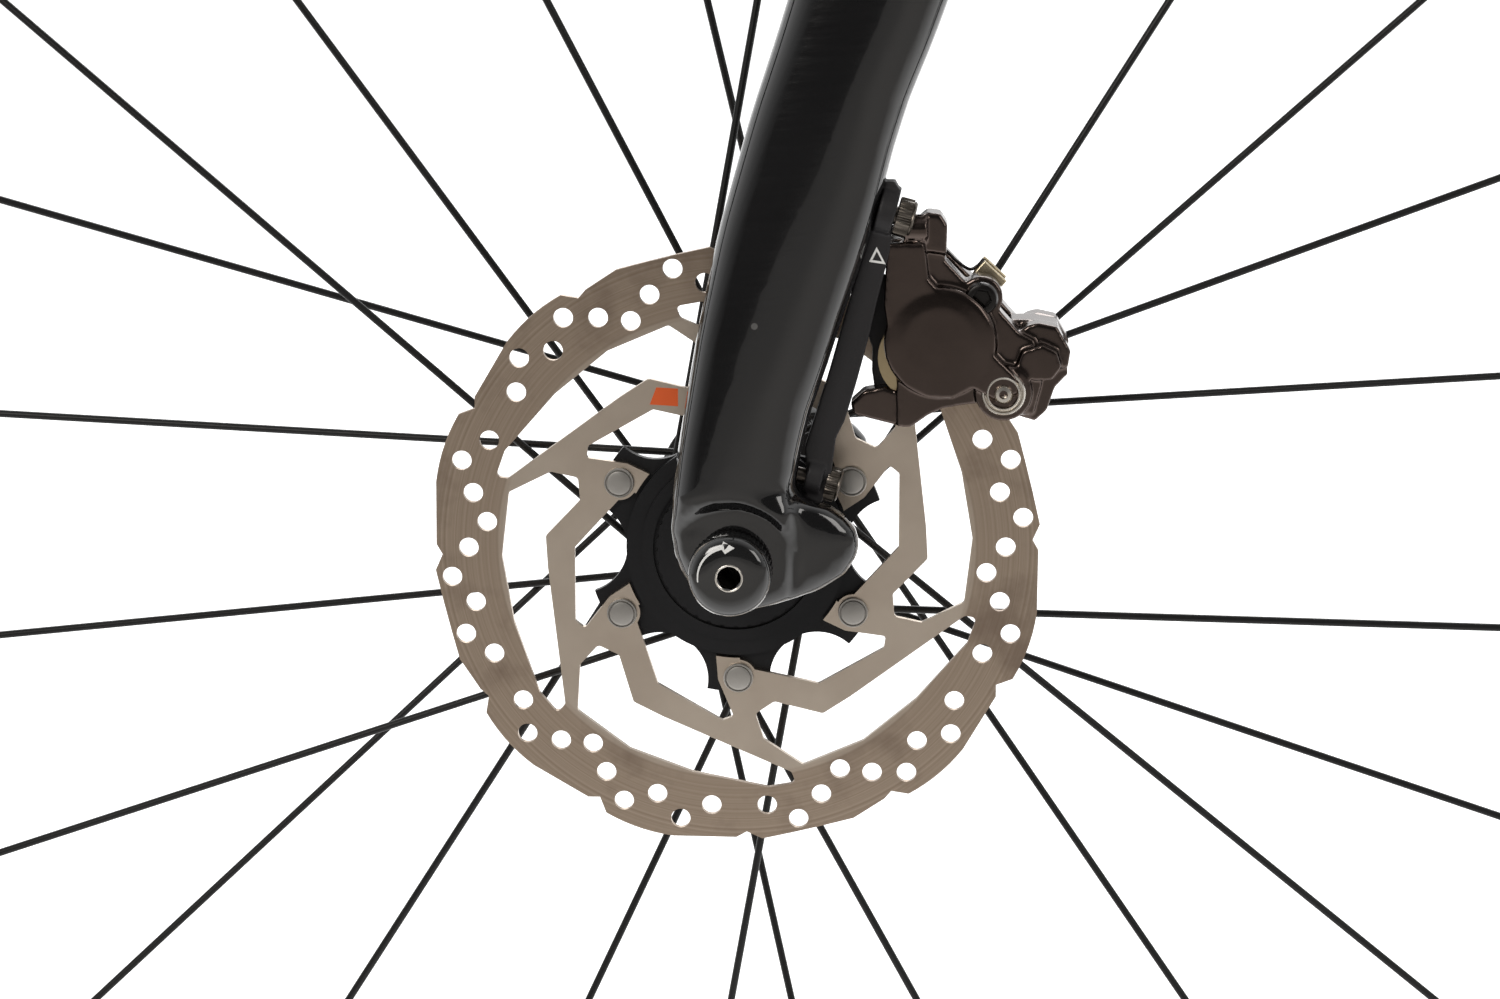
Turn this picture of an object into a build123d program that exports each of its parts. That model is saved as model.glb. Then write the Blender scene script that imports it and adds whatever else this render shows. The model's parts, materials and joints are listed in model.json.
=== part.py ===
"""Road bicycle with hydraulic disc brakes, modelled as an assembly of separate parts.

Frame: X forward, Y to the rider's left, Z up, millimetres. The origin is on the ground,
midway between the two axles, in the middle plane of the frame.
"""

import math
import os

from build123d import *

os.makedirs("parts", exist_ok=True)

# ---------------------------------------------------------------- driving dimensions
BEAD_R = 311.0  # bead seat radius of a 700C rim
TYRE_W = 30.0  # tyre width
TYRE_H = 28.0  # tyre height above the bead seat
CHAINSTAY = 415.0
BB_DROP = 71.0
STACK = 565.0
REACH = 386.0
HEAD_ANGLE = 73.0
SEAT_ANGLE = 73.5
RAKE = 43.0
AXLE_TO_CROWN = 372.0
BLADE_LEAN = 7.0  # how far the fork blade's own upright leans back from plumb
SEAT_TUBE_LEN = 500.0
SEATPOST_R = 13.6
STEM_LEN = 100.0
BAR_WIDTH = 420.0  # drop bar, centre to centre
BAR_REACH = 80.0
BAR_DROP = 126.0
CRANK_LEN = 172.5
OLD_FRONT = 100.0  # over-locknut width of the front hub
OLD_REAR = 142.0
AXLE_R = 6.0  # thru-axle radius
ROTOR_R = 80.0
ROTOR_T = 1.8
SPOKES = 24
SPOKE_R = 1.0
PITCH = 12.7  # chain pitch
ROLLER_R = 3.83
RING_T = 46  # teeth on the chainring
COGS = (11, 12, 13, 14, 15, 17, 19, 21, 23, 25, 28)
COG_STEP = 3.74
COG_T = 1.6
CHAIN_COG = 5  # index of the sprocket that the chain runs on
PULLEY_T = 11
RUN_GAP = 0.06  # radial running clearance of a shaft in a bore
PIECE_GAP = 0.5  # clearance between pieces that move past each other

# ---------------------------------------------------------------- derived layout
COS_H, SIN_H = math.cos(math.radians(HEAD_ANGLE)), math.sin(math.radians(HEAD_ANGLE))
COS_S, SIN_S = math.cos(math.radians(SEAT_ANGLE)), math.sin(math.radians(SEAT_ANGLE))
COS_B, SIN_B = math.cos(math.radians(BLADE_LEAN)), math.sin(math.radians(BLADE_LEAN))
WHEEL_R = BEAD_R + TYRE_H
AXLE_Z = WHEEL_R
BB_Z = AXLE_Z - BB_DROP
CS_RUN = math.sqrt(CHAINSTAY**2 - BB_DROP**2)
FRONT_CENTRE = REACH + (BB_Z + STACK - AXLE_Z) * COS_H / SIN_H + RAKE / SIN_H
REAR_X = -(CS_RUN + FRONT_CENTRE) / 2
FRONT_X = -REAR_X
BB = Vector(REAR_X + CS_RUN, 0, BB_Z)
REAR_AXLE = Vector(REAR_X, 0, AXLE_Z)
FRONT_AXLE = Vector(FRONT_X, 0, AXLE_Z)
HEAD_TOP = BB + Vector(REACH, 0, STACK)
AXIS_UP = Vector(-COS_H, 0, SIN_H)  # steering axis, upwards
AXIS_SQUARE = Vector(SIN_H, 0, COS_H)  # square to it, forwards
CROWN_ALONG = (FRONT_AXLE - HEAD_TOP).dot(AXIS_UP) + math.sqrt(AXLE_TO_CROWN**2 - RAKE**2)
HEAD_GAP = 0.8  # between the fork crown and the head tube
HEAD_LEN = -CROWN_ALONG - HEAD_GAP
SEAT_UP = Vector(-COS_S, 0, SIN_S)
SEAT_TOP = BB + SEAT_UP * SEAT_TUBE_LEN
LEFT = Vector(0, 1, 0)
BLADE_BACK = Vector(-COS_B, 0, -SIN_B)
BLADE_UP = Vector(-SIN_B, 0, COS_B)
FRONT_ROTOR_Y = OLD_FRONT / 2 - 10.5
REAR_ROTOR_Y = OLD_REAR / 2 - 15.5
COG_Y0 = -(OLD_REAR / 2 - 5.5)  # middle plane of the smallest sprocket
CHAIN_Y = COG_Y0 + CHAIN_COG * COG_STEP


def steer(along, forward=0.0, side=0.0):
    """A point by the steering axis: along is up from the head tube's top, forward is square to it."""
    return HEAD_TOP + AXIS_UP * along + AXIS_SQUARE * forward + LEFT * side


def axis_plane(along):
    """Plane square to the steering axis: first axis to the left."""
    return Plane(origin=steer(along), x_dir=LEFT, z_dir=AXIS_UP)


def side_plane(centre, y):
    """Upright plane seen from the left: first axis rearward, second up, normal to the left."""
    return Plane(origin=(centre.X, y, centre.Z), x_dir=(-1, 0, 0), z_dir=LEFT)


def blade_point(back, up, y=0.0):
    """A point in the fork blade's own axes, from the front axle."""
    return FRONT_AXLE + BLADE_BACK * back + BLADE_UP * up + LEFT * y


def blade_plane(y):
    return Plane(origin=blade_point(0, 0, y), x_dir=BLADE_BACK, z_dir=LEFT)


def plane_along(start, end, side=LEFT):
    """Plane at start whose normal points at end, with its first axis as near side as it can be."""
    normal = (end - start).normalized()
    if abs(normal.dot(side)) > 0.99:
        side = Vector(1, 0, 0)
    x_dir = side - normal * side.dot(normal)
    return Plane(origin=start, x_dir=x_dir, z_dir=normal)


def polar(radius, degrees):
    angle = math.radians(degrees)
    return (radius * math.cos(angle), radius * math.sin(angle))


# ---------------------------------------------------------------- building steps
# Each step draws into the part that is being built around it.
def disc(plane, radius, depth, mode=Mode.ADD):
    with BuildSketch(plane) as face:
        Circle(radius)
    extrude(face.sketch, amount=depth, mode=mode)


def bar(start, end, radius, mode=Mode.ADD):
    disc(plane_along(start, end), radius, (end - start).length, mode)


def turn(centre, profile, mode=Mode.ADD):
    """A solid of revolution about the cross axis through centre, from a (side, radius) outline."""
    with BuildSketch(Plane(origin=(centre.X, 0, centre.Z), x_dir=LEFT, z_dir=(1, 0, 0))) as face:
        with BuildLine():
            Polyline(*profile, close=True)
        make_face()
    revolve(face.sketch, axis=Axis((centre.X, 0, centre.Z), (0, 1, 0)), mode=mode)


def ring(centre, y0, y1, inner, outer, mode=Mode.ADD):
    turn(centre, [(y0, inner), (y1, inner), (y1, outer), (y0, outer)], mode)


def plate(plane, points, depth, corner=0.0, mode=Mode.ADD):
    """A flat plate with the given outline, its corners rounded by corner."""
    with BuildSketch(plane) as face:
        with BuildLine():
            if corner:
                FilletPolyline(*points, radius=corner, close=True)
            else:
                Polyline(*points, close=True)
        make_face()
    extrude(face.sketch, amount=depth, mode=mode)


def hex_hole(plane, across, depth):
    with BuildSketch(plane) as face:
        RegularPolygon(across / 2, 6, major_radius=False)
    extrude(face.sketch, amount=-depth, mode=Mode.SUBTRACT)


def ellipse_loft(sections, mode=Mode.ADD):
    """A smooth body through (plane, first half width, second half width) sections."""
    faces = []
    for plane, half_a, half_b in sections:
        with BuildSketch(plane) as section:
            Ellipse(half_a, half_b)
        faces.append(section.sketch)
    loft(faces, mode=mode)


def tube(start, end, sizes, wall):
    """A straight hollow tube through evenly spaced ellipses."""
    base = plane_along(start, end)
    step = (end - start).length / (len(sizes) - 1)
    ellipse_loft([(base.offset(step * i), a, b) for i, (a, b) in enumerate(sizes)])
    inner = [(base.offset(step * i), a - wall, b - wall) for i, (a, b) in enumerate(sizes)]
    ellipse_loft(inner, Mode.SUBTRACT)


def socket_bolt(head, tip, head_r, head_len, shank_r, across):
    """A socket-head bolt: head is the middle of its outer face, tip the end of its shank."""
    plane = plane_along(head, tip)
    disc(plane, head_r, head_len)
    disc(plane.offset(head_len), shank_r, (tip - head).length - head_len)
    hex_hole(plane.offset(head_len * 0.6), across, head_len * 0.6)


def save(piece, name):
    piece.part.label = name
    export_step(piece.part, f"parts/{name}.step")
    print(f"{name}: {len(piece.part.solids())} solids, {piece.part.volume:.0f} mm3", flush=True)


# ---------------------------------------------------------------- main frame
TUBE_WALL = 1.6
HEAD_R_TOP, HEAD_R_BOTTOM = 24.0, 30.0
BEARING_TOP_R, BEARING_BOTTOM_R, BEARING_H = 20.9, 26.0, 7.0
STEERER_TOP_R, STEERER_BOTTOM_R = 14.3, 19.9
SEAT_TUBE_R = 16.5
BB_SHELL_W, BB_SHELL_R, BB_BORE_R = 86.0, 23.5, 20.5


def head_tube_shell(mode=Mode.ADD):
    """The head tube's outer shape, which the tubes that meet it are mitred to."""
    faces = []
    for along, radius in ((0, HEAD_R_TOP), (-HEAD_LEN * 0.45, HEAD_R_TOP), (-HEAD_LEN, HEAD_R_BOTTOM)):
        with BuildSketch(axis_plane(along)) as section:
            Circle(radius)
        faces.append(section.sketch)
    loft(faces, mode=mode)


with BuildPart() as head_tube:
    head_tube_shell()
    disc(axis_plane(0), BEARING_TOP_R, -BEARING_H, Mode.SUBTRACT)
    disc(axis_plane(-HEAD_LEN), BEARING_BOTTOM_R, BEARING_H, Mode.SUBTRACT)
    disc(axis_plane(0), STEERER_BOTTOM_R + PIECE_GAP, -HEAD_LEN, Mode.SUBTRACT)
save(head_tube, "head_tube")

with BuildPart() as headset_bearings:
    disc(axis_plane(0), BEARING_TOP_R, -BEARING_H)
    disc(axis_plane(0), STEERER_TOP_R + RUN_GAP, -BEARING_H, Mode.SUBTRACT)
    disc(axis_plane(-HEAD_LEN), BEARING_BOTTOM_R, BEARING_H)
    disc(axis_plane(-HEAD_LEN), STEERER_BOTTOM_R + RUN_GAP, BEARING_H, Mode.SUBTRACT)
save(headset_bearings, "headset_bearings")

TOP_TUBE_HEAD = steer(-32)
TOP_TUBE_SEAT = BB + SEAT_UP * (SEAT_TUBE_LEN - 26)

with BuildPart() as top_tube:
    tube(TOP_TUBE_HEAD, TOP_TUBE_SEAT, [(21, 19), (19, 15.5), (16, 13.5)], TUBE_WALL)
    head_tube_shell(Mode.SUBTRACT)
    bar(BB, SEAT_TOP, SEAT_TUBE_R, Mode.SUBTRACT)
save(top_tube, "top_tube")

# bottle bosses are threaded inserts in the down tube
DOWN_TUBE_RISE = 48.0  # where its axis meets the steering axis, above the head tube's lower end
DOWN_TUBE_HEAD = steer(-HEAD_LEN + DOWN_TUBE_RISE)
DOWN_DIR = (DOWN_TUBE_HEAD - BB).normalized()
DOWN_SQUARE = Vector(-DOWN_DIR.Z, 0, DOWN_DIR.X)  # square to the down tube, upwards
DOWN_MID_H = 25.0
BOSS_SPACING, BOSS_ALONG = 64.0, 250.0
BOSS_R, BOSS_THREAD_R, BOSS_LEN = 5.0, 2.5, 14.0


def boss_point(i, height):
    return BB + DOWN_DIR * (BOSS_ALONG + i * BOSS_SPACING) + DOWN_SQUARE * height


with BuildPart() as down_tube:
    tube(BB, DOWN_TUBE_HEAD, [(29, 24), (27, DOWN_MID_H), (26, 25)], TUBE_WALL)
    head_tube_shell(Mode.SUBTRACT)
    ring(BB, -BB_SHELL_W / 2, BB_SHELL_W / 2, 0, BB_SHELL_R, Mode.SUBTRACT)
    bar(BB, SEAT_TOP, SEAT_TUBE_R, Mode.SUBTRACT)
    for i in range(2):
        foot, top = boss_point(i, DOWN_MID_H + 2 - BOSS_LEN), boss_point(i, DOWN_MID_H + 2)
        bar(foot, top, BOSS_R)
        bar(foot, top, BOSS_THREAD_R, Mode.SUBTRACT)
save(down_tube, "down_tube")

with BuildPart() as seat_tube:
    bar(BB, SEAT_TOP, SEAT_TUBE_R)
    ring(BB, -BB_SHELL_W / 2, BB_SHELL_W / 2, 0, BB_SHELL_R)
    ring(BB, -BB_SHELL_W / 2, BB_SHELL_W / 2, 0, BB_BORE_R, Mode.SUBTRACT)
    bar(BB + SEAT_UP * 60, SEAT_TOP, SEATPOST_R + RUN_GAP, Mode.SUBTRACT)
save(seat_tube, "seat_tube")

CLAMP_H, CLAMP_WALL = 14.0, 4.0
CLAMP_LOW = SEAT_TOP - SEAT_UP * CLAMP_H
CLAMP_EAR = Vector(-SIN_S, 0, -COS_S)  # square to the seat tube, rearward
with BuildPart() as seat_clamp:
    bar(CLAMP_LOW, SEAT_TOP, SEAT_TUBE_R + CLAMP_WALL)
    bar(CLAMP_LOW, SEAT_TOP, SEAT_TUBE_R, Mode.SUBTRACT)
    CLAMP_BOLT = (CLAMP_LOW + SEAT_TOP) * 0.5 + CLAMP_EAR * (SEAT_TUBE_R + CLAMP_WALL + 3)
    bar(CLAMP_BOLT - LEFT * 9, CLAMP_BOLT + LEFT * 9, 6)
    bar(CLAMP_BOLT - LEFT * 9, CLAMP_BOLT + LEFT * 9, 2.5, Mode.SUBTRACT)
    bar(CLAMP_LOW, SEAT_TOP, SEAT_TUBE_R, Mode.SUBTRACT)
save(seat_clamp, "seat_clamp")

BB_SPINDLE_R = 12.0
with BuildPart() as bottom_bracket:
    for hand in (-1, 1):
        inner, outer = hand * (BB_SHELL_W / 2 - 10), hand * (BB_SHELL_W / 2)
        ring(BB, min(inner, outer), max(inner, outer), BB_SPINDLE_R + RUN_GAP, BB_BORE_R)
        ring(BB, min(outer, outer + hand * 2), max(outer, outer + hand * 2), BB_SPINDLE_R + RUN_GAP, 22)
save(bottom_bracket, "bottom_bracket")

# ---------------------------------------------------------------- rear stays
DROP_Y, DROP_T = OLD_REAR / 2, 8.0
STAY_HALF_W = 6.5
STAY_END = 74.0  # from the stay's last section to the axle
DROPOUT = [(-86, -22), (-84, -4), (-42, 20), (-30, 58), (-14, 58), (2, 22), (14, 12), (17, -6),
           (8, -17), (-20, -20)]


def stay_back(side, back, rise, hand):
    """A point on a chainstay: back from the bottom bracket, rise above the line to the axle."""
    return Vector(BB.X - back, hand * side, BB_Z + BB_DROP * back / CS_RUN + rise)


def stay_plane(point):
    return Plane(origin=point, x_dir=LEFT, z_dir=(-1, 0, 0))


def chainstay(hand, mode=Mode.ADD):
    shape = (
        (30, 16, -6, 9, 17), (100, 30, -2, 8.5, 15), (CS_RUN / 2, 46, 1, 8, 12),
        (CS_RUN - STAY_END, DROP_Y + STAY_HALF_W, 0, 6.4, 10),
    )
    ellipse_loft([
        (stay_plane(stay_back(side, back, rise, hand)), half_w, half_h)
        for back, side, rise, half_w, half_h in shape
    ], mode)
    plate(side_plane(REAR_AXLE, hand * DROP_Y), DROPOUT, hand * DROP_T, 4, mode)


SEATSTAY_TOP = SEAT_TOP - SEAT_UP * 62
SEATSTAY_FOOT = REAR_AXLE + Vector(22, DROP_Y + 4, 52)


def seatstay(hand):
    foot = Vector(SEATSTAY_FOOT.X, hand * SEATSTAY_FOOT.Y, SEATSTAY_FOOT.Z)
    knee = SEATSTAY_TOP + (REAR_AXLE - SEATSTAY_TOP) * 0.28 + LEFT * hand * 33
    top = Vector(SEATSTAY_TOP.X, hand * 10, SEATSTAY_TOP.Z)
    ellipse_loft([
        (plane_along(top, knee), 7, 8.5),
        (plane_along(knee, foot), 5.5, 8),
        (plane_along(foot, REAR_AXLE + LEFT * foot.Y), 4, 8),
    ])


with BuildPart() as chainstays:
    for hand in (-1, 1):
        chainstay(hand)
    ring(BB, -BB_SHELL_W / 2, BB_SHELL_W / 2, 0, BB_SHELL_R, Mode.SUBTRACT)
    bar(BB, SEAT_TOP, SEAT_TUBE_R, Mode.SUBTRACT)
    ring(REAR_AXLE, -DROP_Y - DROP_T, DROP_Y + DROP_T, 0, AXLE_R, Mode.SUBTRACT)
save(chainstays, "chainstays")

with BuildPart() as seatstays:
    for hand in (-1, 1):
        seatstay(hand)
    bar(BB, SEAT_TOP, SEAT_TUBE_R, Mode.SUBTRACT)
    for hand in (-1, 1):
        chainstay(hand, Mode.SUBTRACT)
save(seatstays, "seatstays")

# ---------------------------------------------------------------- wheels
RIM_DEPTH = 30.0
RIM_R_IN = BEAD_R + 6 - RIM_DEPTH
FLANGE_HOLE_R = 22.25
HALF_RIM = [(0, RIM_R_IN), (6, RIM_R_IN + 1.5), (11, RIM_R_IN + 12), (12.6, BEAD_R + 6),
            (10.2, BEAD_R + 6), (10.2, BEAD_R)]
RIM_CAVITY = [(0, RIM_R_IN + 3), (5, RIM_R_IN + 4), (9.5, RIM_R_IN + 12), (10.2, BEAD_R - 2)]
VALVE_ANGLE = 105.0
SPOKE_FIRST = 9.0  # rim angle of the first spoke
SPOKE_NIPPLE_R, SPOKE_NIPPLE_LEN = 1.9, 13.0
FLANGE_RUN = 12.0  # the length of spoke that lies along its flange


def mirrored(half):
    """A closed outline from its right half, listed from the middle outwards and back."""
    return half + [(-y, r) for y, r in reversed(half) if y]


def tyre(centre):
    """A hollow casing that stands in the rim, with a rounded tread."""
    half_w, seat, wall = TYRE_W / 2, 10.0, 2.6
    with BuildSketch(Plane(origin=centre, x_dir=LEFT, z_dir=(1, 0, 0))) as face:
        for side, gap in ((Mode.ADD, 0.0), (Mode.SUBTRACT, wall)):
            top, wide, foot = WHEEL_R - gap, half_w - gap, seat - gap
            with BuildLine() as outline:
                Line((-foot, BEAD_R), (-foot, BEAD_R + 6.5))
                ThreePointArc((-foot, BEAD_R + 6.5), (-wide, BEAD_R + 14), (-wide * 0.7, top - 4.5))
                ThreePointArc((-wide * 0.7, top - 4.5), (0, top), (wide * 0.7, top - 4.5))
                ThreePointArc((wide * 0.7, top - 4.5), (wide, BEAD_R + 14), (foot, BEAD_R + 6.5))
                Line((foot, BEAD_R + 6.5), (foot, BEAD_R))
                Line((foot, BEAD_R), (-foot, BEAD_R))
            make_face(outline.line, mode=side)
    revolve(face.sketch, axis=Axis(centre, (0, 1, 0)))


def rim(centre):
    turn(centre, mirrored(HALF_RIM))
    turn(centre, mirrored(RIM_CAVITY), Mode.SUBTRACT)
    out = Vector(math.cos(math.radians(VALVE_ANGLE)), 0, math.sin(math.radians(VALVE_ANGLE)))
    bar(centre + out * (RIM_R_IN - 18), centre + out * (RIM_R_IN + 2), 3)


def spoke_lines(plane, left_y, right_y):
    """Both ends of each crossed spoke: it leaves its flange 60 degrees from where it meets the rim."""
    lines = []
    for k in range(SPOKES):
        on_left = k % 2 == 1
        turn_sign = 1 if (k // 2) % 2 == 0 else -1
        at_rim = SPOKE_FIRST + k * 360 / SPOKES
        flange = left_y if on_left else right_y
        hub_u, hub_v = polar(FLANGE_HOLE_R, at_rim + 60 * turn_sign)
        rim_u, rim_v = polar(RIM_R_IN + 1.5, at_rim)
        start = plane.from_local_coords(Vector(hub_u, hub_v, flange + 1.7 * turn_sign))
        end = plane.from_local_coords(Vector(rim_u, rim_v, 1.5 if on_left else -1.5))
        lines.append((start, end))
    return lines


def spoke_set(lines):
    """All spokes of a wheel with their nipples, as separate solids."""
    made = []
    for start, end in lines:
        run = (end - start).normalized()
        with BuildPart() as spoke:
            bar(start, end, SPOKE_R)
            bar(end - run * SPOKE_NIPPLE_LEN, end, SPOKE_NIPPLE_R)
        made.append(spoke.part.solid())
    return made


def flange_grooves(lines):
    for start, end in lines:
        run = (end - start).normalized()
        bar(start - run * PIECE_GAP, start + run * FLANGE_RUN, SPOKE_R + RUN_GAP, Mode.SUBTRACT)


def nipple_holes(lines):
    for start, end in lines:
        run = (end - start).normalized()
        bar(end - run * SPOKE_NIPPLE_LEN, end + run * RUN_GAP, SPOKE_NIPPLE_R + RUN_GAP, Mode.SUBTRACT)


def hub_shell(centre, left_y, right_y, left_end, right_end, spline_y):
    """A turned hub with two flanges, and a splined seat for the rotor on its left."""
    turn(centre, [
        (right_end, AXLE_R + RUN_GAP), (right_end, 9.5), (right_end + 5, 9.5), (right_end + 5, 14),
        (right_y - 3, 14), (right_y - 1.5, 25.5), (right_y + 1.5, 25.5), (right_y + 5, 13),
        (left_y - 5, 13), (left_y - 1.5, 25.5), (left_y + 1.5, 25.5), (left_y + 3, 17.5),
        (spline_y, 17.5), (spline_y, 12), (left_end - 4, 12), (left_end - 4, 9.5), (left_end, 9.5),
        (left_end, AXLE_R + RUN_GAP),
    ])


def save_solids(solids, name):
    """Write repeated separate solids as one node."""
    group = Compound(label=name, children=list(solids))
    export_step(group, f"parts/{name}.step")
    print(f"{name}: {len(group.solids())} solids", flush=True)


FRONT_LEFT_Y, FRONT_RIGHT_Y = 21.0, -31.0
REAR_LEFT_Y, REAR_RIGHT_Y = 33.0, -17.5
WHEEL_GAP = 0.5  # hub end to dropout
REAR_SHELL_END = -22.5  # where the rear hub shell meets the freehub
CARRIER_H = 2.5  # the rotor carrier's boss, above the rotor's inner face
BLADE_WHEEL = Plane(origin=FRONT_AXLE, x_dir=BLADE_BACK, z_dir=LEFT)
REAR_WHEEL = Plane(origin=REAR_AXLE, x_dir=(-1, 0, 0), z_dir=LEFT)
FRONT_LINES = spoke_lines(BLADE_WHEEL, FRONT_LEFT_Y, FRONT_RIGHT_Y)
REAR_LINES = spoke_lines(REAR_WHEEL, REAR_LEFT_Y, REAR_RIGHT_Y)

for end, centre, lines in (("front", FRONT_AXLE, FRONT_LINES), ("rear", REAR_AXLE, REAR_LINES)):
    with BuildPart() as tyre_part:
        tyre(centre)
    save(tyre_part, f"{end}_tyre")
    with BuildPart() as rim_part:
        rim(centre)
        nipple_holes(lines)
    save(rim_part, f"{end}_rim")
    save_solids(spoke_set(lines), f"{end}_spokes")

with BuildPart() as front_hub:
    hub_shell(FRONT_AXLE, FRONT_LEFT_Y, FRONT_RIGHT_Y, OLD_FRONT / 2 - WHEEL_GAP,
              -OLD_FRONT / 2 + WHEEL_GAP, FRONT_ROTOR_Y - ROTOR_T / 2 + CARRIER_H)
    flange_grooves(FRONT_LINES)
save(front_hub, "front_hub")
with BuildPart() as rear_hub:
    hub_shell(REAR_AXLE, REAR_LEFT_Y, REAR_RIGHT_Y, OLD_REAR / 2 - WHEEL_GAP,
              REAR_SHELL_END - 5, REAR_ROTOR_Y - ROTOR_T / 2 + CARRIER_H)
    ring(REAR_AXLE, REAR_SHELL_END - 5, REAR_SHELL_END, 0, 16, Mode.SUBTRACT)
    flange_grooves(REAR_LINES)
save(rear_hub, "rear_hub")

# ---------------------------------------------------------------- brake rotors
RIVETS, RIVET_R, RIVET_FIRST = 6, 34.7, 30.9
SPIDER_T = 2.2
LOCKRING_R = 20.5
WINDOW = [(-59, 14), (-48, 19.5), (-41, 18), (-40.5, 12), (-49.5, 2.5), (-49, -6), (-44.8, -42.5),
          (-46.8, -45), (-51.5, -39.5), (-58, -20.5), (-61, -3)]
INNER_VOID = [(-22, 12), (-28, 15), (-42, -0.5), (-42, -20), (-39.5, -22), (-33, -13.5), (-25, -8)]


def track_outline():
    """The rotor's wavy edge: each quarter turn has one low lobe, then two full ones."""
    notch = ROTOR_R - 3.5
    for k in range(12):
        start = 2 + 30 * k
        begin, finish = polar(notch, start), polar(notch, start + 30)
        if k % 3 == 0:
            rise, mid, fall = polar(78.6, start + 3), polar(77.8, start + 12), polar(78.6, start + 21)
            end = polar(77.4, start + 28)
        else:
            rise, mid, fall = polar(79.6, start + 2.5), polar(ROTOR_R, start + 9), polar(79.6, start + 16)
            end = polar(78, start + 28)
        Line(begin, rise)
        ThreePointArc(rise, mid, fall)
        Line(fall, end)
        Line(end, finish)


def rotor(plane):
    """The steel braking ring on its six slanted arms, drawn on the plane of its inner face."""
    with BuildSketch() as window:
        with BuildLine():
            FilletPolyline(*WINDOW, radius=1.2, close=True)
        make_face()
    with BuildSketch() as void:
        with BuildLine():
            FilletPolyline(*INNER_VOID, radius=0.8, close=True)
        make_face()
    with BuildSketch(plane) as face:
        with BuildLine():
            track_outline()
        make_face()
        with PolarLocations(0, RIVETS):
            add(window.sketch, mode=Mode.SUBTRACT)
            add(void.sketch, mode=Mode.SUBTRACT)
        Circle(29.5, mode=Mode.SUBTRACT)
        with PolarLocations(RIVET_R, RIVETS, start_angle=RIVET_FIRST):
            Circle(4.7)
        for radius, angles in ((69.6, (0, 12, 24, 36, 48)), (74.5, (6, 18, 42)), (65.0, (54,))):
            for angle in angles:
                with PolarLocations(radius, 6, start_angle=angle + 0.64):
                    Circle(2.55, mode=Mode.SUBTRACT)
    extrude(face.sketch, amount=ROTOR_T)
    with BuildSketch(plane) as rivet_holes:
        with PolarLocations(RIVET_R, RIVETS, start_angle=RIVET_FIRST):
            Circle(2.2)
    extrude(rivet_holes.sketch, amount=ROTOR_T, mode=Mode.SUBTRACT)


def spider(plane):
    """The light carrier that joins the braking ring to the hub, drawn on its outer face."""
    with BuildSketch(plane) as arms:
        Circle(39)
        with PolarLocations(28.5 + 12.4, RIVETS, start_angle=RIVET_FIRST + 30):
            Circle(12.4, mode=Mode.SUBTRACT)
        with PolarLocations(RIVET_R, RIVETS, start_angle=RIVET_FIRST):
            Circle(2.2, mode=Mode.SUBTRACT)
    extrude(arms.sketch, amount=-SPIDER_T)
    disc(plane, 28.5, CARRIER_H)
    disc(plane.offset(CARRIER_H), 24.5, 1)
    disc(plane.offset(CARRIER_H), 21.5, 1, Mode.SUBTRACT)
    disc(plane.offset(-SPIDER_T), 17.5, SPIDER_T + 4, Mode.SUBTRACT)


def rivets(plane):
    with BuildSketch(plane.offset(ROTOR_T)) as heads:
        with PolarLocations(RIVET_R, RIVETS, start_angle=RIVET_FIRST):
            Circle(3.5)
    extrude(heads.sketch, amount=1.1)
    with BuildSketch(plane.offset(-SPIDER_T)) as shanks:
        with PolarLocations(RIVET_R, RIVETS, start_angle=RIVET_FIRST):
            Circle(2.2)
    extrude(shanks.sketch, amount=SPIDER_T + ROTOR_T)


def lockring(plane):
    """The serrated ring that clamps the carrier to the hub."""
    with BuildSketch(plane) as face:
        Circle(LOCKRING_R)
        with PolarLocations(LOCKRING_R + 0.5, 36):
            Circle(0.9, mode=Mode.SUBTRACT)
        Circle(12.6, mode=Mode.SUBTRACT)
    extrude(face.sketch, amount=2.6)


rotor_plane = blade_plane(FRONT_ROTOR_Y - ROTOR_T / 2)
with BuildPart() as front_rotor:
    rotor(rotor_plane)
save(front_rotor, "front_rotor")
with BuildPart() as front_rotor_spider:
    spider(rotor_plane)
save(front_rotor_spider, "front_rotor_spider")
with BuildPart() as front_rotor_rivets:
    rivets(rotor_plane)
save(front_rotor_rivets, "front_rotor_rivets")
with BuildPart() as front_lockring:
    lockring(rotor_plane.offset(CARRIER_H))
save(front_lockring, "front_lockring")
rear_rotor_plane = side_plane(REAR_AXLE, REAR_ROTOR_Y - ROTOR_T / 2)
with BuildPart() as rear_rotor:
    rotor(rear_rotor_plane)
    spider(rear_rotor_plane)
    rivets(rear_rotor_plane)
    lockring(rear_rotor_plane.offset(CARRIER_H))
save(rear_rotor, "rear_rotor")

# ---------------------------------------------------------------- fork
LEG_IN_Y, LEG_OUT_Y = OLD_FRONT / 2, 69.0
STEERER_TOP = 53.0  # above the head tube
CROWN_H = 25.0
BLADE_LOW, BLADE_HIGH, BLADE_SECTIONS = 12.0, 338.0, 8  # heights above the axle
FORK_TIP = [(-15.6, 8), (-14, -1), (-8.75, -8), (0, -11), (12.5, -9.6), (20, -7.5), (29, -2.5), (32.3, 5),
            (31, 10), (25, 15.6), (17, 19), (-15.2, 19)]
CAP_R = 10.4


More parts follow.
